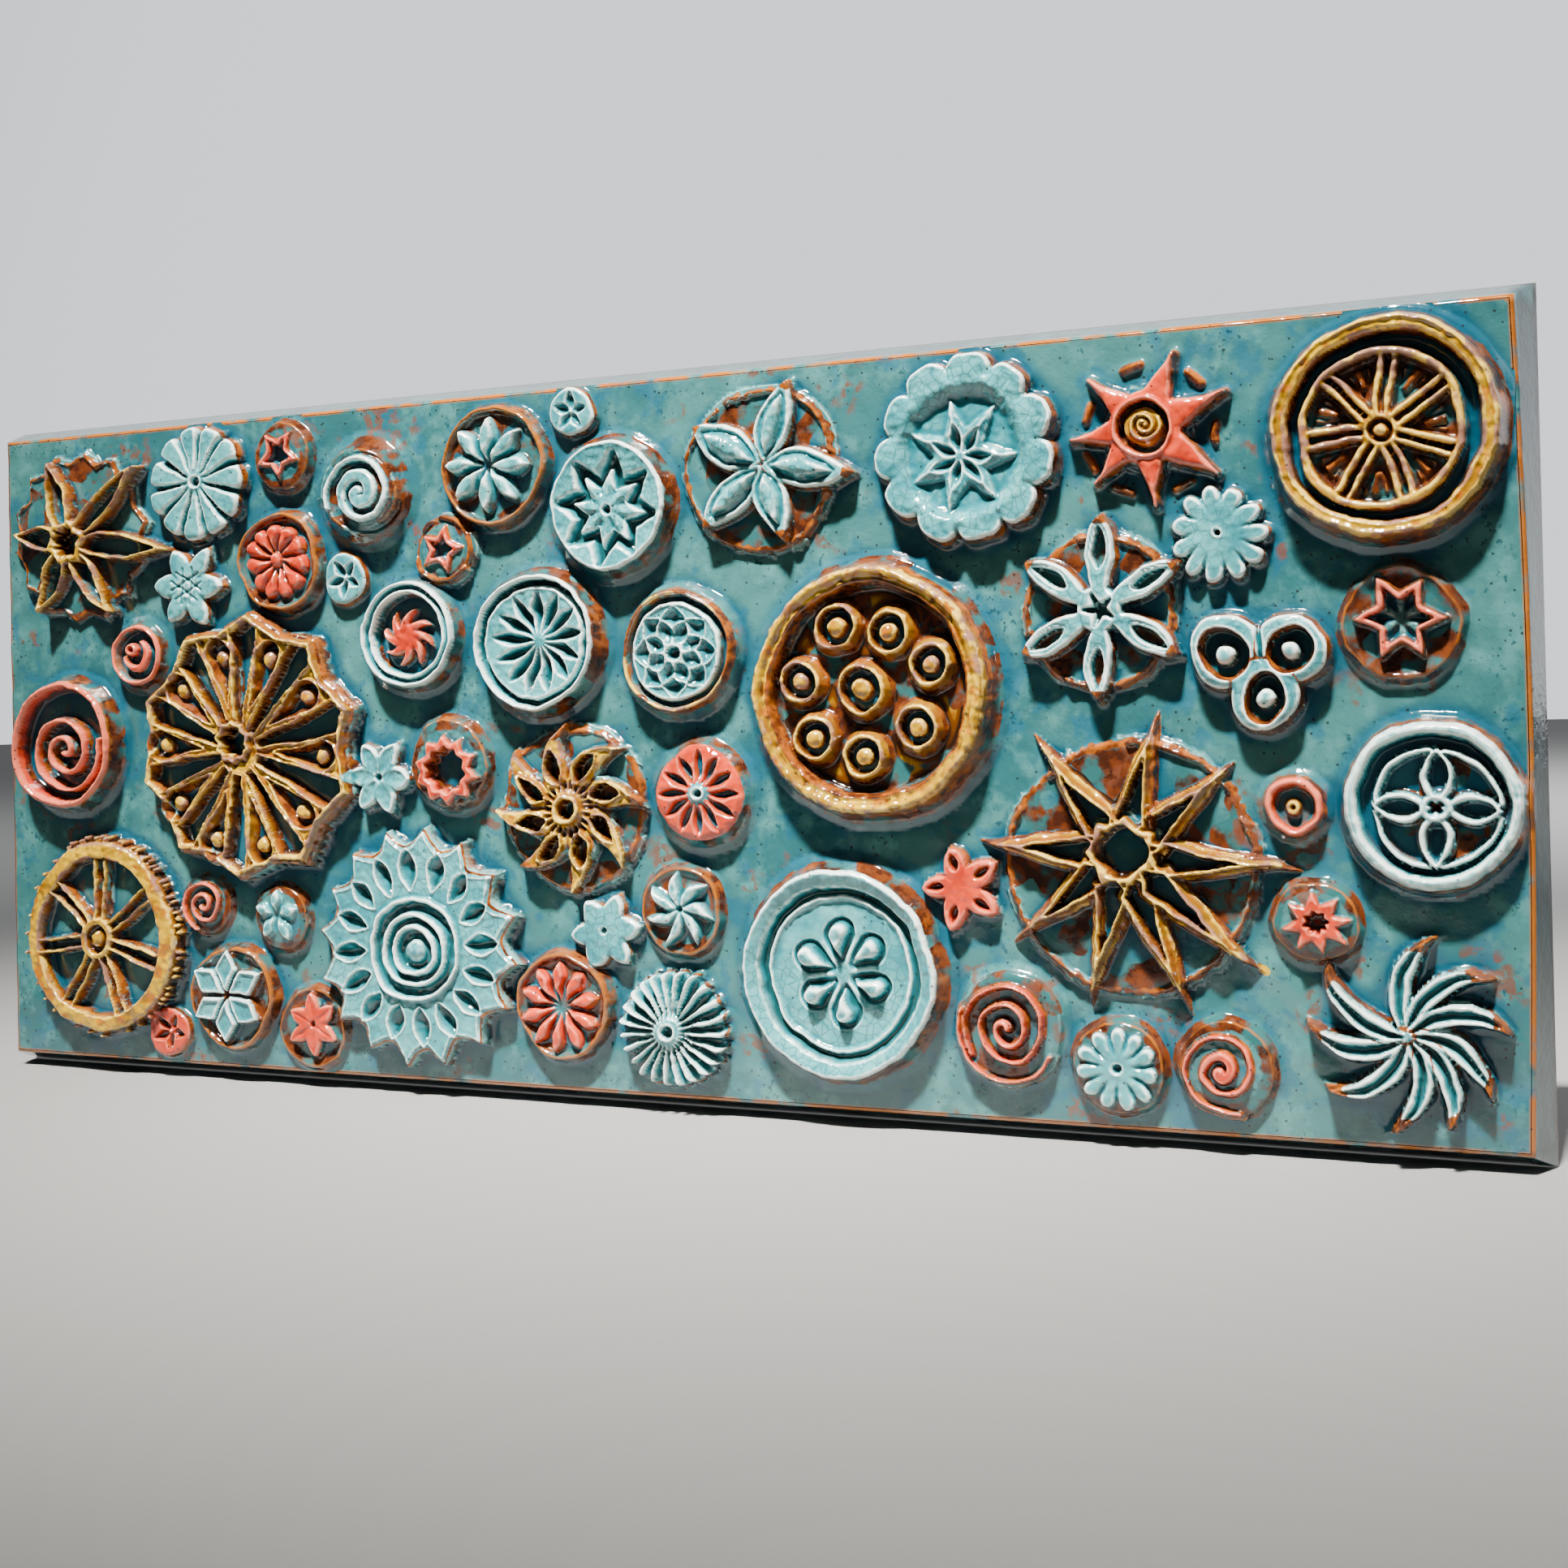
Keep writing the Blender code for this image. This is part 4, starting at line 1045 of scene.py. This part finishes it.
# Pinwheel of nine bent arms, each of two ridges
m = Medallion(51, 439.8, 172.4, 28)
for direction in (77, 37, 4, -37, -68, -99, -143, 177, 140):
    leaf = m.leaf(direction + 36, 0, 23.6, 4.9, 0.5, 0.7, bend=-36)
    m.mesa(leaf, 6.4, 0.7, 0.4, 1.6)
    m.h -= 2.8 * np.clip(1.3 - abs(m.across) / 0.5, 0, 1) * ramp(-leaf, 0.1, 0.9) * ramp(-m.t, -0.98, -0.8)
    m.lined(PALE, leaf, 0.9, 0.4)
    m.patchy(RUST, leaf - 0.5, 1, m.r, 18.5, 21.5, 0.9)
m.done(0.06)

# Glaze evens the clay out; the face itself swells and dips a little
ground = 0.10 * waves + 0.05 * noise(28)
relief = soften(np.minimum(height, HIGHEST - 0.1), SOFTEN)
relief = np.clip(relief + ground * np.exp(-relief / 2), LOWEST, HIGHEST)

slope_v, slope_u = np.gradient(relief, CELL)
# The crest measure lightens glaze on crests, as thin glaze and as a painted highlight. The hollow and
# beside-medallion measures darken it, as pooled glaze and as painted shade
fields = {
    "edge": (relief - soften(relief, CREST_SIZE)) / CREST_FULL,
    "pool_and_shade": (soften(relief, POOL_AND_SHADE_SIZE) - relief) / POOL_AND_SHADE_FULL,
    "beside_pool_and_shade": (soften(relief, BESIDE_POOL_AND_SHADE_SIZE) - relief) / BESIDE_POOL_AND_SHADE_FULL,
    "steep": np.hypot(slope_u, slope_v) / STEEPEST,
    **{name: soften(np.clip(paints[i], 0, 1), PAINT_SOFTEN) for i, name in enumerate(NAMES)},
}
fields = {key: np.clip(field, 0, 1) for key, field in fields.items()}


def world(u, v, level):
    """Points in metres from drawn millimetres."""
    x = (u - FACE_WIDTH / 2) / 1000
    z = (FACE_HEIGHT / 2 - v) / 1000
    return np.stack([x, -(SLAB + level) / 1000, z], axis=-1)


def sampled(field, u, v):
    """The field between its cells."""
    a = np.clip((u + MARGIN) / CELL, 0, COLS - 1.001)
    b = np.clip((v + MARGIN) / CELL, 0, ROWS - 1.001)
    i, j = b.astype(int), a.astype(int)
    s, t = b - i, a - j
    low = field[i, j] * (1 - t) + field[i, j + 1] * t
    high = field[i + 1, j] * (1 - t) + field[i + 1, j + 1] * t
    return low * (1 - s) + high * s


def as_piece(name, points, quads, values, normals, materials, caps=()):
    """A mesh object with the glaze attributes and normals of its own."""
    mesh = bpy.data.meshes.new(name)
    mesh.vertices.add(len(points))
    mesh.vertices.foreach_set("co", points.astype(np.float32).ravel())
    loops = np.concatenate([quads.ravel(), *[np.array(cap) for cap in caps]]).astype(np.int32)
    sizes = np.array([4] * len(quads) + [len(cap) for cap in caps])
    mesh.loops.add(len(loops))
    mesh.loops.foreach_set("vertex_index", loops)
    mesh.polygons.add(len(sizes))
    mesh.polygons.foreach_set("loop_start", np.concatenate([[0], np.cumsum(sizes)[:-1]]).astype(np.int32))
    mesh.polygons.foreach_set("use_smooth", np.ones(len(sizes), bool))
    for material in materials:
        mesh.materials.append(material)
    mesh.polygons.foreach_set("material_index", np.array([0] * len(quads) + [1] * len(caps)))
    mesh.update(calc_edges=True)
    for key, numbers in values.items():
        layer = mesh.attributes.new(key, "FLOAT", "POINT")
        layer.data.foreach_set("value", numbers.astype(np.float32))
    own = np.empty(len(points) * 3, np.float32)
    mesh.vertex_normals.foreach_get("vector", own)
    own = own.reshape(-1, 3)
    own[: len(normals)] = normals
    mesh.normals_split_custom_set_from_vertices(own.tolist())
    piece = bpy.data.objects.new(name, mesh)
    bpy.context.scene.collection.objects.link(piece)
    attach(piece, "root")
    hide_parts("tile")
    return piece


def facing(u, v):
    du, dv = sampled(slope_u, u, v), sampled(slope_v, u, v)
    normals = np.stack([-du, -np.ones(du.shape), dv], axis=-1)
    return normals / np.linalg.norm(normals, axis=-1, keepdims=True)


def medallion_pieces(material):
    """Each medallion is the part of the field that is its own, with a skirt that runs into the slab."""
    us = np.arange(0.4, FACE_WIDTH, FINE_STEP)
    vs = np.arange(0.4, FACE_HEIGHT - 0.3, FINE_STEP)
    u, v = np.meshgrid(us, vs)
    columns = len(us)
    far = sampled(outside, u, v)
    level = sampled(relief, u, v) + LIFT - SKIRT_DIP * ramp(far, SKIRT - 0.9, SKIRT)
    mid_u = (u[:-1, :-1] + FINE_STEP / 2 + MARGIN) / CELL
    mid_v = (v[:-1, :-1] + FINE_STEP / 2 + MARGIN) / CELL
    rows, cols = np.rint(mid_v).astype(int), np.rint(mid_u).astype(int)
    mine = np.where(outside[rows, cols] < SKIRT, owner[rows, cols], 0)
    for number in range(1, int(owner.max()) + 1):
        i, j = np.nonzero(mine == number)
        corner = i * columns + j
        quads = np.stack([corner, corner + columns, corner + columns + 1, corner + 1], axis=-1)
        used, packed = np.unique(quads, return_inverse=True)
        at_u, at_v = u.ravel()[used], v.ravel()[used]
        points = world(at_u, at_v, level.ravel()[used])
        values = {key: sampled(field, at_u, at_v) for key, field in fields.items()}
        values["rim"] = np.zeros(len(used))
        as_piece(f"medallion_{number:02d}", points, packed.reshape(quads.shape), values,
                 facing(at_u, at_v), [material])


def slab_piece(material, clay):
    """The slab: its face, which dips under the medallions, its rounded edge, its sides and its back.

    Its attribute rim is 0 on the face, 1 at its edge, 2 past the bevel and 3 at the back.
    """
    across = int((FACE_WIDTH - 2 * BEVEL) / COARSE_STEP)
    down = int((FACE_HEIGHT - 2 * BEVEL) / COARSE_STEP)
    share_u, share_v = np.meshgrid(np.linspace(0, 1, across + 1), np.linspace(0, 1, down + 1))
    bow = RIGHT_BOW * np.sin(math.pi * share_v)
    v = BEVEL + share_v * (FACE_HEIGHT - 2 * BEVEL)
    u = BEVEL + share_u * (FACE_WIDTH - 2 * BEVEL + bow)
    level = sampled(relief, u, v) - HOLLOW * (1 - ramp(sampled(outside, u, v), 0.1, 0.9))
    index = np.arange((across + 1) * (down + 1)).reshape(down + 1, across + 1)
    corner = index[:-1, :-1].ravel()
    quads = [np.stack([corner, corner + across + 1, corner + across + 2, corner + 1], axis=-1)]
    border = np.concatenate([index[:-1, 0], index[-1, :-1], index[:0:-1, -1], index[0, :0:-1]])
    bu, bv = u.ravel()[border], v.ravel()[border]
    out_u = np.where(share_u.ravel()[border] == 0, -1.0, np.where(share_u.ravel()[border] == 1, 1.0, 0.0))
    out_v = np.where(share_v.ravel()[border] == 0, -1.0, np.where(share_v.ravel()[border] == 1, 1.0, 0.0))
    bulge = bow.ravel()[border] * share_u.ravel()[border]
    points = [world(u.ravel(), v.ravel(), level.ravel())]
    face_values = {key: sampled(field, u.ravel(), v.ravel()) for key, field in fields.items()}
    from_edge = np.minimum(np.minimum(u, FACE_WIDTH + bow - u), np.minimum(v, FACE_HEIGHT - v)).ravel()
    rims = [1 - ramp(from_edge, 0.6, 3.4)]
    # Rings round the face: how far out, how far below it, and their rim
    rings = [(0.35, -0.1, 1.0), (0.8, -0.42, 1.2), (1.08, -0.8, 1.6), (BEVEL, -BEVEL, 2.0)]
    for i in range(1, SIDE_RINGS + 1):
        share = i / SIDE_RINGS
        rings.append((BEVEL + SLANT * share, -BEVEL - (SLAB - BEVEL) * share, 2.0 + share))
    last = border
    total = u.size
    for grow, depth, rim in rings:
        back = np.clip((-depth - BEVEL) / (SLAB - BEVEL), 0, 1)
        at_u, at_v = bu + grow * out_u - back * bulge, bv + grow * out_v
        edge_level = level.ravel()[border] * (1 - min(-depth / BEVEL, 1))
        points.append(world(at_u, at_v, depth + edge_level))
        rims.append(np.full(len(border), rim))
        ring = total + np.arange(len(border))
        quads.append(np.stack([last, ring, np.roll(ring, -1), np.roll(last, -1)], axis=-1)[:, ::-1])
        last = ring
        total += len(border)
    points.append(points[-1])
    rims.append(np.full(len(border), 3.0))
    cap = total + np.arange(len(border))
    zeros = np.zeros(total + len(border) - u.size)
    values = {key: np.concatenate([numbers, zeros]) for key, numbers in face_values.items()}
    values["rim"] = np.concatenate(rims)
    as_piece("slab", np.concatenate(points), np.concatenate(quads), values, facing(u.ravel(), v.ravel()),
             [material, clay], [cap])


# Materials


class Shader:
    """Short names for a material's nodes; a number or a socket may be given for any input."""

    def __init__(self, name):
        self.material = bpy.data.materials.new(name)
        self.material.use_nodes = True
        self.tree = self.material.node_tree
        self.surface = self.tree.nodes["Principled BSDF"]
        self.place = self.node("ShaderNodeTexCoord").outputs["Object"]

    def node(self, kind, **settings):
        made = self.tree.nodes.new(kind)
        for key, setting in settings.items():
            setattr(made, key, setting)
        return made

    def put(self, socket, value):
        if isinstance(value, bpy.types.NodeSocket):
            self.tree.links.new(value, socket)
        else:
            socket.default_value = (*value, 1.0) if isinstance(value, tuple) and len(value) == 3 else value

    def math(self, operation, a, b=0.0):
        made = self.node("ShaderNodeMath", operation=operation)
        self.put(made.inputs[0], a)
        self.put(made.inputs[1], b)
        return made.outputs[0]

    def plus(self, a, b):
        return self.math("ADD", a, b)

    def minus(self, a, b):
        return self.math("SUBTRACT", a, b)

    def times(self, product, *factors):
        for factor in factors:
            product = self.math("MULTIPLY", product, factor)
        return product

    def step(self, value, low, high, top=1.0):
        made = self.node("ShaderNodeMapRange", interpolation_type="SMOOTHSTEP")
        for key, number in zip(("Value", "From Min", "From Max", "To Max"), (value, low, high, top)):
            self.put(made.inputs[key], number)
        return made.outputs["Result"]

    def mix(self, share, a, b):
        made = self.node("ShaderNodeMix", data_type="RGBA")
        self.put(made.inputs["Factor"], share)
        self.put(made.inputs[6], a)
        self.put(made.inputs[7], b)
        return made.outputs[2]

    def coats(self, colour, *layers):
        """Colours over a first one, each where a value rises from low to high, up to a share."""
        for value, low, high, share, coat in layers:
            colour = self.mix(self.step(value, low, high, share), colour, coat)
        return colour

    def noise(self, size, detail, offset=0.0):
        """Noise of about that many millimetres."""
        made = self.node("ShaderNodeTexNoise", noise_dimensions="4D")
        self.put(made.inputs["Vector"], self.place)
        self.put(made.inputs["W"], offset)
        self.put(made.inputs["Scale"], 1000 / size)
        self.put(made.inputs["Detail"], detail)
        return made.outputs["Fac"]

    def cells(self, size, feature="F1", output="Distance"):
        made = self.node("ShaderNodeTexVoronoi", feature=feature)
        self.put(made.inputs["Vector"], self.place)
        self.put(made.inputs["Scale"], 1000 / size)
        return made.outputs[output]

    def value(self, name):
        return self.node("ShaderNodeAttribute", attribute_name=name).outputs["Fac"]

    def bump(self, height, depth):
        """A bump of that many millimetres."""
        made = self.node("ShaderNodeBump")
        self.put(made.inputs["Height"], height)
        made.inputs["Strength"].default_value = 1.0
        made.inputs["Distance"].default_value = depth / 1000
        self.put(self.surface.inputs["Normal"], made.outputs["Normal"])


def glaze_material():
    s = Shader("glaze")
    broad, middle, fine = s.noise(46, 3, 1), s.noise(13, 3, 2), s.noise(3.2, 3, 3)
    grain, tiny = s.noise(1.1, 2, 4), s.noise(0.45, 1, 5)
    edge, pool_and_shade, beside_pool_and_shade, steep, rim = (s.value(key) for key in ("edge", "pool_and_shade", "beside_pool_and_shade", "steep", "rim"))
    mottle = s.plus(s.times(middle, 0.6), s.times(fine, 0.4))
    # Hollows and the ground beside medallions together, for pooled glaze and painted shade
    deep_and_shaded = s.plus(s.times(pool_and_shade, 0.75), s.times(beside_pool_and_shade, 0.35))

    # Teal ground: lighter on crests, partly where it is thin and partly a painted highlight; dark blue in
    # hollows and beside a medallion, partly pooled glaze and partly painted shade; with dark dust
    teal = s.coats(
        (0.017, 0.088, 0.098),
        (broad, 0.36, 0.64, 1, (0.040, 0.142, 0.138)),
        (mottle, 0.46, 0.66, 0.8, (0.066, 0.206, 0.198)),
        (s.noise(8, 4, 6), 0.53, 0.64, 0.6, (0.008, 0.082, 0.138)),
        # The next two coats are painted shade beside medallions and in hollows, over real pooling; the last
        # is a painted highlight on crests, over real thinning
        (beside_pool_and_shade, 0.10, 0.65, 0.8, (0.003, 0.055, 0.092)),
        (pool_and_shade, 0.25, 1.0, 0.7, (0.002, 0.036, 0.062)),
        (edge, 0.15, 0.9, 0.6, (0.25, 0.50, 0.46)),
    )
    dust = s.times(s.step(s.noise(1.6, 2, 7), 0.60, 0.68), s.step(middle, 0.42, 0.62), 0.7)
    teal = s.mix(dust, teal, (0.004, 0.028, 0.045))

    # Brown break: teal glaze gone rusty
    brown = s.coats(
        (0.034, 0.009, 0.004),
        (fine, 0.38, 0.62, 1, (0.110, 0.026, 0.006)),
        (s.noise(6.5, 4, 8), 0.47, 0.60, 1, (0.018, 0.090, 0.092)),
        (edge, 0.45, 1.0, 0.7, (0.340, 0.105, 0.008)),
    )
    # Rust, darker in hollows: partly pooled glaze and partly painted shade
    rust = s.coats(
        (0.062, 0.014, 0.004),
        (fine, 0.36, 0.66, 1, (0.290, 0.076, 0.006)),
        (pool_and_shade, 0.3, 0.9, 0.7, (0.030, 0.007, 0.003)),
    )

    # Pale celadon with crackle: white on crests, partly where it is thin and partly a painted highlight;
    # turquoise where it lies deep, and near-black in the deepest hollows as painted shade
    crack = s.step(s.minus(0.075, s.cells(2.7, "DISTANCE_TO_EDGE")), 0.0, 0.045)
    crack = s.times(crack, s.step(broad, 0.36, 0.52), 0.7)
    pale = s.mix(s.step(mottle, 0.36, 0.60), (0.026, 0.185, 0.215), (0.092, 0.340, 0.345))
    pale = s.coats(
        s.mix(crack, pale, (0.022, 0.135, 0.155)),
        (deep_and_shaded, 0.06, 0.40, 1, (0.010, 0.150, 0.180)),
        (deep_and_shaded, 0.40, 0.95, 1, (0.004, 0.052, 0.056)),
        (edge, 0.25, 0.80, 0.8, (0.38, 0.64, 0.61)),
        (edge, 0.66, 1.05, 0.95, (0.78, 0.88, 0.83)),
    )

    # Gold, with cream on crests, partly thin glaze and partly a painted highlight, and lilac-brown where it
    # is thin; brown on its flanks; dark to near-black in hollows, partly pooled glaze and partly painted
    # shade
    gold = s.coats(
        (0.200, 0.088, 0.001),
        (mottle, 0.36, 0.58, 1, (0.540, 0.318, 0.002)),
        (s.noise(5, 3, 17), 0.52, 0.61, 0.75, (0.330, 0.080, 0.003)),
        (steep, 0.30, 0.85, 0.8, (0.160, 0.056, 0.002)),
        (deep_and_shaded, 0.06, 0.35, 1, (0.090, 0.026, 0.002)),
        (deep_and_shaded, 0.35, 0.80, 1, (0.014, 0.005, 0.002)),
        (edge, 0.64, 1.0, 0.65, (0.88, 0.60, 0.11)),
    )
    lilac = s.times(s.step(edge, 0.35, 0.90), s.step(s.noise(7, 4, 14), 0.49, 0.57), 0.9)
    gold = s.mix(lilac, gold, (0.210, 0.095, 0.085))

    # Coral with pink crests, partly thin glaze and partly a painted highlight; dark to near-black in
    # hollows, partly pooled glaze and partly painted shade
    coral = s.coats(
        (0.360, 0.022, 0.007),
        (mottle, 0.38, 0.62, 1, (0.580, 0.052, 0.016)),
        (deep_and_shaded, 0.12, 0.55, 1, (0.130, 0.010, 0.005)),
        (deep_and_shaded, 0.50, 0.95, 1, (0.022, 0.005, 0.003)),
        (edge, 0.45, 1.0, 0.55, (0.82, 0.23, 0.13)),
    )

    # The painted layers, with ragged borders
    ragged = s.plus(s.times(fine, 0.45), s.times(grain, 0.35))
    colour = teal
    for name, glaze in (("brown", brown), ("rust", rust), ("pale", pale), ("gold", gold), ("coral", coral)):
        colour = s.mix(s.step(s.plus(s.value(name), ragged), 0.75, 0.92), colour, glaze)

    # Rust breaks through on steep flanks, and along the slab's front edge
    flank = s.times(
        s.step(steep, 0.55, 0.95),
        s.step(s.noise(17, 3, 9), 0.47, 0.58),
        s.step(fine, 0.40, 0.55),
        s.minus(0.75, s.times(s.value("pale"), 0.6)),
    )
    line = s.minus(1.0, s.step(s.math("ABSOLUTE", s.minus(rim, 1.25)), 0.25, 0.65))
    line = s.times(line, s.step(s.noise(9, 3, 10), 0.34, 0.52))
    colour = s.mix(line, s.mix(flank, colour, rust), (0.320, 0.095, 0.010))

    # The sides, a darker teal than the face as painted shade, and a near-black painted shadow line near
    # their back edge
    side = s.mix(s.step(s.noise(5, 4, 12), 0.35, 0.65), (0.010, 0.036, 0.042), (0.028, 0.078, 0.084))
    colour = s.coats(colour, (rim, 1.9, 2.15, 1, side), (rim, 2.80, 2.88, 1, (0.018, 0.018, 0.018)))

    # Rust brushed over the open ground here and there
    painted = s.step(s.plus(s.value("pale"), s.plus(s.value("gold"), s.value("coral"))), 0.2, 0.5)
    brushed = s.times(
        s.step(s.noise(19, 3, 15), 0.58, 0.64),
        s.step(s.noise(2.6, 4, 16), 0.47, 0.54),
        s.minus(1.0, s.step(beside_pool_and_shade, 0.25, 0.5)),
        s.minus(0.75, s.times(painted, 0.75)),
        s.minus(1.0, s.step(rim, 0.9, 1.2)),
    )
    colour = s.mix(brushed, colour, (0.125, 0.040, 0.020))

    # Specks
    speck = s.step(s.minus(0.17, s.cells(2.4)), 0.0, 0.05)
    lone = s.step(s.cells(2.4, "F1", "Color"), 0.62, 0.66)
    colour = s.mix(s.times(speck, lone, 0.8), colour, (0.014, 0.011, 0.010))
    colour = s.mix(s.step(tiny, 0.66, 0.74, 0.35), colour, (0.025, 0.050, 0.050))

    s.put(s.surface.inputs["Base Color"], colour)
    s.put(s.surface.inputs["Roughness"], s.step(mottle, 0.30, 0.70, 0.22))
    s.surface.inputs["IOR"].default_value = 1.5
    s.surface.inputs["Coat Weight"].default_value = 0.6
    s.surface.inputs["Coat Roughness"].default_value = 0.05
    s.bump(s.plus(s.times(fine, 0.75), s.times(grain, 0.25)), 0.26)
    return s.material


def clay_material():
    s = Shader("clay")
    tone = s.step(s.noise(7, 4), 0.35, 0.65)
    s.put(s.surface.inputs["Base Color"], s.mix(tone, (0.42, 0.30, 0.21), (0.54, 0.41, 0.30)))
    s.surface.inputs["Roughness"].default_value = 0.85
    s.bump(s.noise(1.5, 3), 0.2)
    return s.material


# Pieces

glaze = glaze_material()
slab_piece(glaze, clay_material())
medallion_pieces(glaze)

# Floor, lights and camera


def plain(name, colour, roughness):
    material = bpy.data.materials.new(name)
    material.use_nodes = True
    surface = material.node_tree.nodes["Principled BSDF"]
    surface.inputs["Base Color"].default_value = (*colour, 1)
    surface.inputs["Roughness"].default_value = roughness
    return material


def area_light(name, spot, aim, size, power, colour=(1, 1, 1), spread=180):
    light = bpy.data.lights.new(name, "AREA")
    light.shape = "RECTANGLE"
    light.size, light.size_y = size
    light.energy = power
    light.spread = math.radians(spread)
    light.color = colour
    lamp = bpy.data.objects.new(name, light)
    lamp.location = spot
    lamp.rotation_euler = (Vector(aim) - Vector(spot)).to_track_quat("-Z", "Y").to_euler()
    bpy.context.scene.collection.objects.link(lamp)


FLOOR_LEVEL = -0.1042

bpy.ops.mesh.primitive_plane_add(size=14, location=(0, 0, FLOOR_LEVEL))
floor = bpy.context.object
floor.name = "floor"
floor.data.materials.append(plain("floor", (0.22, 0.22, 0.217), 0.8))

area_light("key", (0.02, -1.45, 2.95), (0.02, 0, 0.06), (0.50, 0.16), 7.4, (1.0, 0.96, 0.90), 15)
area_light("fill", (-0.9, -0.9, 0.25), (0, 0, 0), (0.9, 0.9), 0.12, (0.90, 0.95, 1.0))
area_light("strip", (0.8, -0.5, 0.35), (0.1, 0, 0), (0.10, 0.7), 0.3)
area_light("back", (0, 1.2, 1.5), (0, 1.8, -0.1), (1.4, 1.0), 45, spread=110)

# The room is dim in front of the tile and pale behind it
world_light = bpy.data.worlds.new("studio")
world_light.use_nodes = True
nodes, links = world_light.node_tree.nodes, world_light.node_tree.links
direction = nodes.new("ShaderNodeSeparateXYZ")
links.new(nodes.new("ShaderNodeTexCoord").outputs["Generated"], direction.inputs[0])
behind = nodes.new("ShaderNodeMapRange")
behind.interpolation_type = "SMOOTHSTEP"
for key, number in (("From Min", 0.35), ("From Max", 0.75), ("To Min", 0.03), ("To Max", 1.3)):
    behind.inputs[key].default_value = number
links.new(direction.outputs["Y"], behind.inputs["Value"])
sky = nodes["Background"]
sky.inputs["Color"].default_value = (0.90, 0.93, 0.96, 1)
links.new(behind.outputs["Result"], sky.inputs["Strength"])
bpy.context.scene.world = world_light

lens = bpy.data.cameras.new("camera")
lens.sensor_width = 36
lens.lens = 45.91
lens.shift_y = -0.0652
lens.clip_start = 0.01
camera = bpy.data.objects.new("camera", lens)
right, up = Vector((0.90867, 0.41696, -0.02164)), Vector((0.02424, -0.00093, 0.99970))
turn = Matrix((right, up, right.cross(up))).transposed().to_4x4()
camera.matrix_world = Matrix.Translation((0.27063, -0.50240, 0.00856)) @ turn
bpy.context.scene.collection.objects.link(camera)
bpy.context.scene.camera = camera
